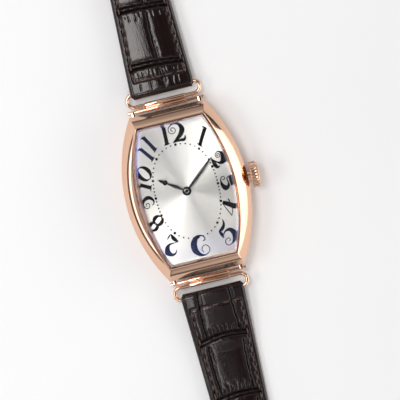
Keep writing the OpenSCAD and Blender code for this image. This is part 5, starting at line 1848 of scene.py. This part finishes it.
@dataclass(frozen=True)
class Studio:
    """The pale table, the soft lamps, the room and the camera at the photograph's angle.

    The lens and the sensor are millimetres, turns are the camera's angles in degrees, and offset is the
    place of the watch's origin in its view: right, up and away.
    """

    lens: float = 177.7
    sensor: float = 36.0
    turns: tuple[float, float, float] = (2.3, -1.1, 13.93)
    offset: tuple[float, float, float] = (-3.17, 2.5, 500.0)
    table_z: float = -0.05
    table_half: float = 3000.0
    lamps: tuple[Lamp, ...] = (
        Lamp("softbox_top", (-118, 110, 440), (0, 40, 0), (120, 160), 0.5, "FFFBF7"),
        Lamp("softbox_low", (-112, -185, 440), (0, -90, 0), (48, 230), 0.21, "FFFAF8"),
        Lamp("softbox_high", (-330, 0, 310), (0, 0, 0), (120, 240), 0.44, "FCFBFA"),
        Lamp("softbox_right", (840, -380, 230), (0, -120, 30), (560, 1560), 6.0, "FFFAF4"),
        Lamp("softbox_left", (-840, -60, 130), (0, -60, 20), (72, 2000), 1.0, "F2F5FF"))
    windows: tuple[Window, ...] = (
        Window((-0.122, 0.08, 0.989), 0.055, 0.082, 2.8), Window((-0.035, -0.195, 0.98), 0.05, 0.085, 1.5))

    def camera(self) -> None:
        """Sets the camera: its axes are the rows of Rx(turns 0) Ry(turns 1) Rz(turns 2)."""
        rows = turn_matrix(self.turns[0], 0) @ turn_matrix(self.turns[1], 1) @ turn_matrix(self.turns[2], 2)
        data = bpy.data.cameras.new("photo_camera")
        data.lens, data.sensor_width, data.clip_start = self.lens, self.sensor, 0.01
        camera = add_object("photo_camera", data)
        aim(camera, rows.T, rows.T @ np.array([-self.offset[0], -self.offset[1], self.offset[2]]))
        bpy.context.scene.camera = camera

    def floor(self) -> None:
        """Lays the table: pale satin plastic, which the camera and mirrors see paler than it lights."""
        material, tree, here = new_material("table_satin_plastic")
        tint = add_node(tree, "TexNoise", {"Vector": here, "Scale": 0.02 / MM})
        color = add_node(tree, "Mix", {
            0: tint, 6: linear("F4F4F5"), 7: linear("F9F9F9")}, data_type="RGBA")
        shader = add_node(tree, "BsdfPrincipled", {"Base Color": color.outputs[2], "Roughness": 0.55})
        path = add_node(tree, "LightPath")
        seen = add_node(tree, "Math", {
            0: path.outputs["Is Camera Ray"], 1: path.outputs["Is Glossy Ray"]}, operation="MAXIMUM")
        glow = add_node(tree, "Math", {0: seen, 1: 0.03}, operation="MULTIPLY")
        lift = add_node(tree, "Emission", {"Color": linear("FAFAFB"), "Strength": glow})
        finish_with(material, add_node(tree, "AddShader", {0: shader, 1: lift}))
        corners = np.array([[-1, -1], [1, -1], [1, 1], [-1, 1]]) * self.table_half
        mesh = new_mesh("table", Shell(at_height(corners, self.table_z), (np.array([[0, 1, 2, 3]]),)))
        mesh.materials.append(material)
        add_object("table", mesh)

    def world(self) -> None:
        """Sets the room that the watch mirrors, and white where the camera looks past the table.

        The room is dark at the horizon, unevenly grey above it, and nearly black right overhead, which
        keeps the crystal clear. The windows are soft round lights that the crystal mirrors blue.
        """
        world = bpy.data.worlds.new("room")
        bpy.context.scene.world = world
        world.use_nodes = True
        tree = world.node_tree
        tree.nodes.clear()
        seen = add_node(tree, "LightPath").outputs["Is Camera Ray"]
        way = add_node(tree, "TexCoord").outputs["Generated"]
        height = add_node(tree, "SeparateXYZ", {0: way}).outputs["Z"]
        level = add_node(tree, "MapRange", {
            "Value": height, "From Min": 0.03, "From Max": 0.12, "To Min": 0.1, "To Max": 0.64})
        drift = add_node(tree, "TexNoise", {"Vector": way, "Scale": 1.9, "Detail": 1.0})
        uneven = add_node(tree, "MapRange", {
            "Value": drift, "From Min": 0.38, "From Max": 0.62, "To Min": 0.35, "To Max": 1.35})
        level = add_node(tree, "Math", {0: level, 1: uneven}, operation="MULTIPLY")
        overhead = add_node(tree, "MapRange", {
            "Value": height, "From Min": 0.94, "From Max": 0.985, "To Min": 1.0, "To Max": 0.06})
        level = add_node(tree, "Math", {0: level, 1: overhead}, operation="MULTIPLY")
        for window in self.windows:
            away = add_node(tree, "VectorMath", {0: way, 1: window.way}, operation="DISTANCE")
            glow = add_node(tree, "MapRange", {
                "Value": away.outputs["Value"], "From Min": window.near, "From Max": window.far,
                "To Min": window.glow, "To Max": 0.0})
            level = add_node(tree, "Math", {0: level, 1: glow}, operation="ADD")
        room = add_node(tree, "Background", {"Color": linear("EDEFF2"), "Strength": level})
        white = add_node(tree, "Background", {"Color": linear("FFFFFF"), "Strength": 1.0})
        add_node(tree, "OutputWorld", {"Surface": add_node(tree, "MixShader", {0: seen, 1: room, 2: white})})

    def light(self, lamp: Lamp) -> None:
        """Adds one area lamp whose -Z axis runs from its place to its aim.

        Args:
            lamp: what it is.
        """
        data = bpy.data.lights.new(lamp.name, "AREA")
        data.shape = "RECTANGLE"
        data.size, data.size_y = lamp.size[0] * MM, lamp.size[1] * MM
        data.energy, data.color = lamp.power, linear(lamp.color)[:3]
        back = np.array(lamp.place, float) - np.array(lamp.aim, float)
        back /= np.linalg.norm(back)
        side = np.cross((0.0, 1.0, 0.0), back)
        side /= np.linalg.norm(side)
        axes = np.column_stack([side, np.cross(back, side), back])
        aim(add_object(lamp.name, data), axes, np.array(lamp.place, float))

    def build(self) -> None:
        """Builds the whole studio and sets the view transform."""
        self.camera()
        self.floor()
        self.world()
        for lamp in self.lamps:
            self.light(lamp)
        bpy.context.scene.view_settings.view_transform = "Standard"


def main() -> None:
    """Builds the studio and every sub-assembly of the watch in order."""
    logging.basicConfig(level=logging.INFO, format="%(message)s")
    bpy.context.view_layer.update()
    Studio().build()
    finishes = Finishes()
    assemblies = (
        Movement(), Case(), DialPrint(), Hands(), Crown(), LugSet(End.UPPER), LugSet(End.LOWER),
        StrapHalf(End.UPPER, 75.0, 1.15), StrapHalf(End.LOWER, 115.0, 0.0),
        Keeper("fixed_keeper", 92.7, 0.15, 6.85, "upper_strap"),
        Keeper("free_keeper", 81.7, 0.0, 6.7, "free_keeper"), Buckle())
    for assembly in assemblies:
        log.info("building %s", type(assembly).__name__)
        assembly.build(finishes)


if __name__ == "__main__":
    main()
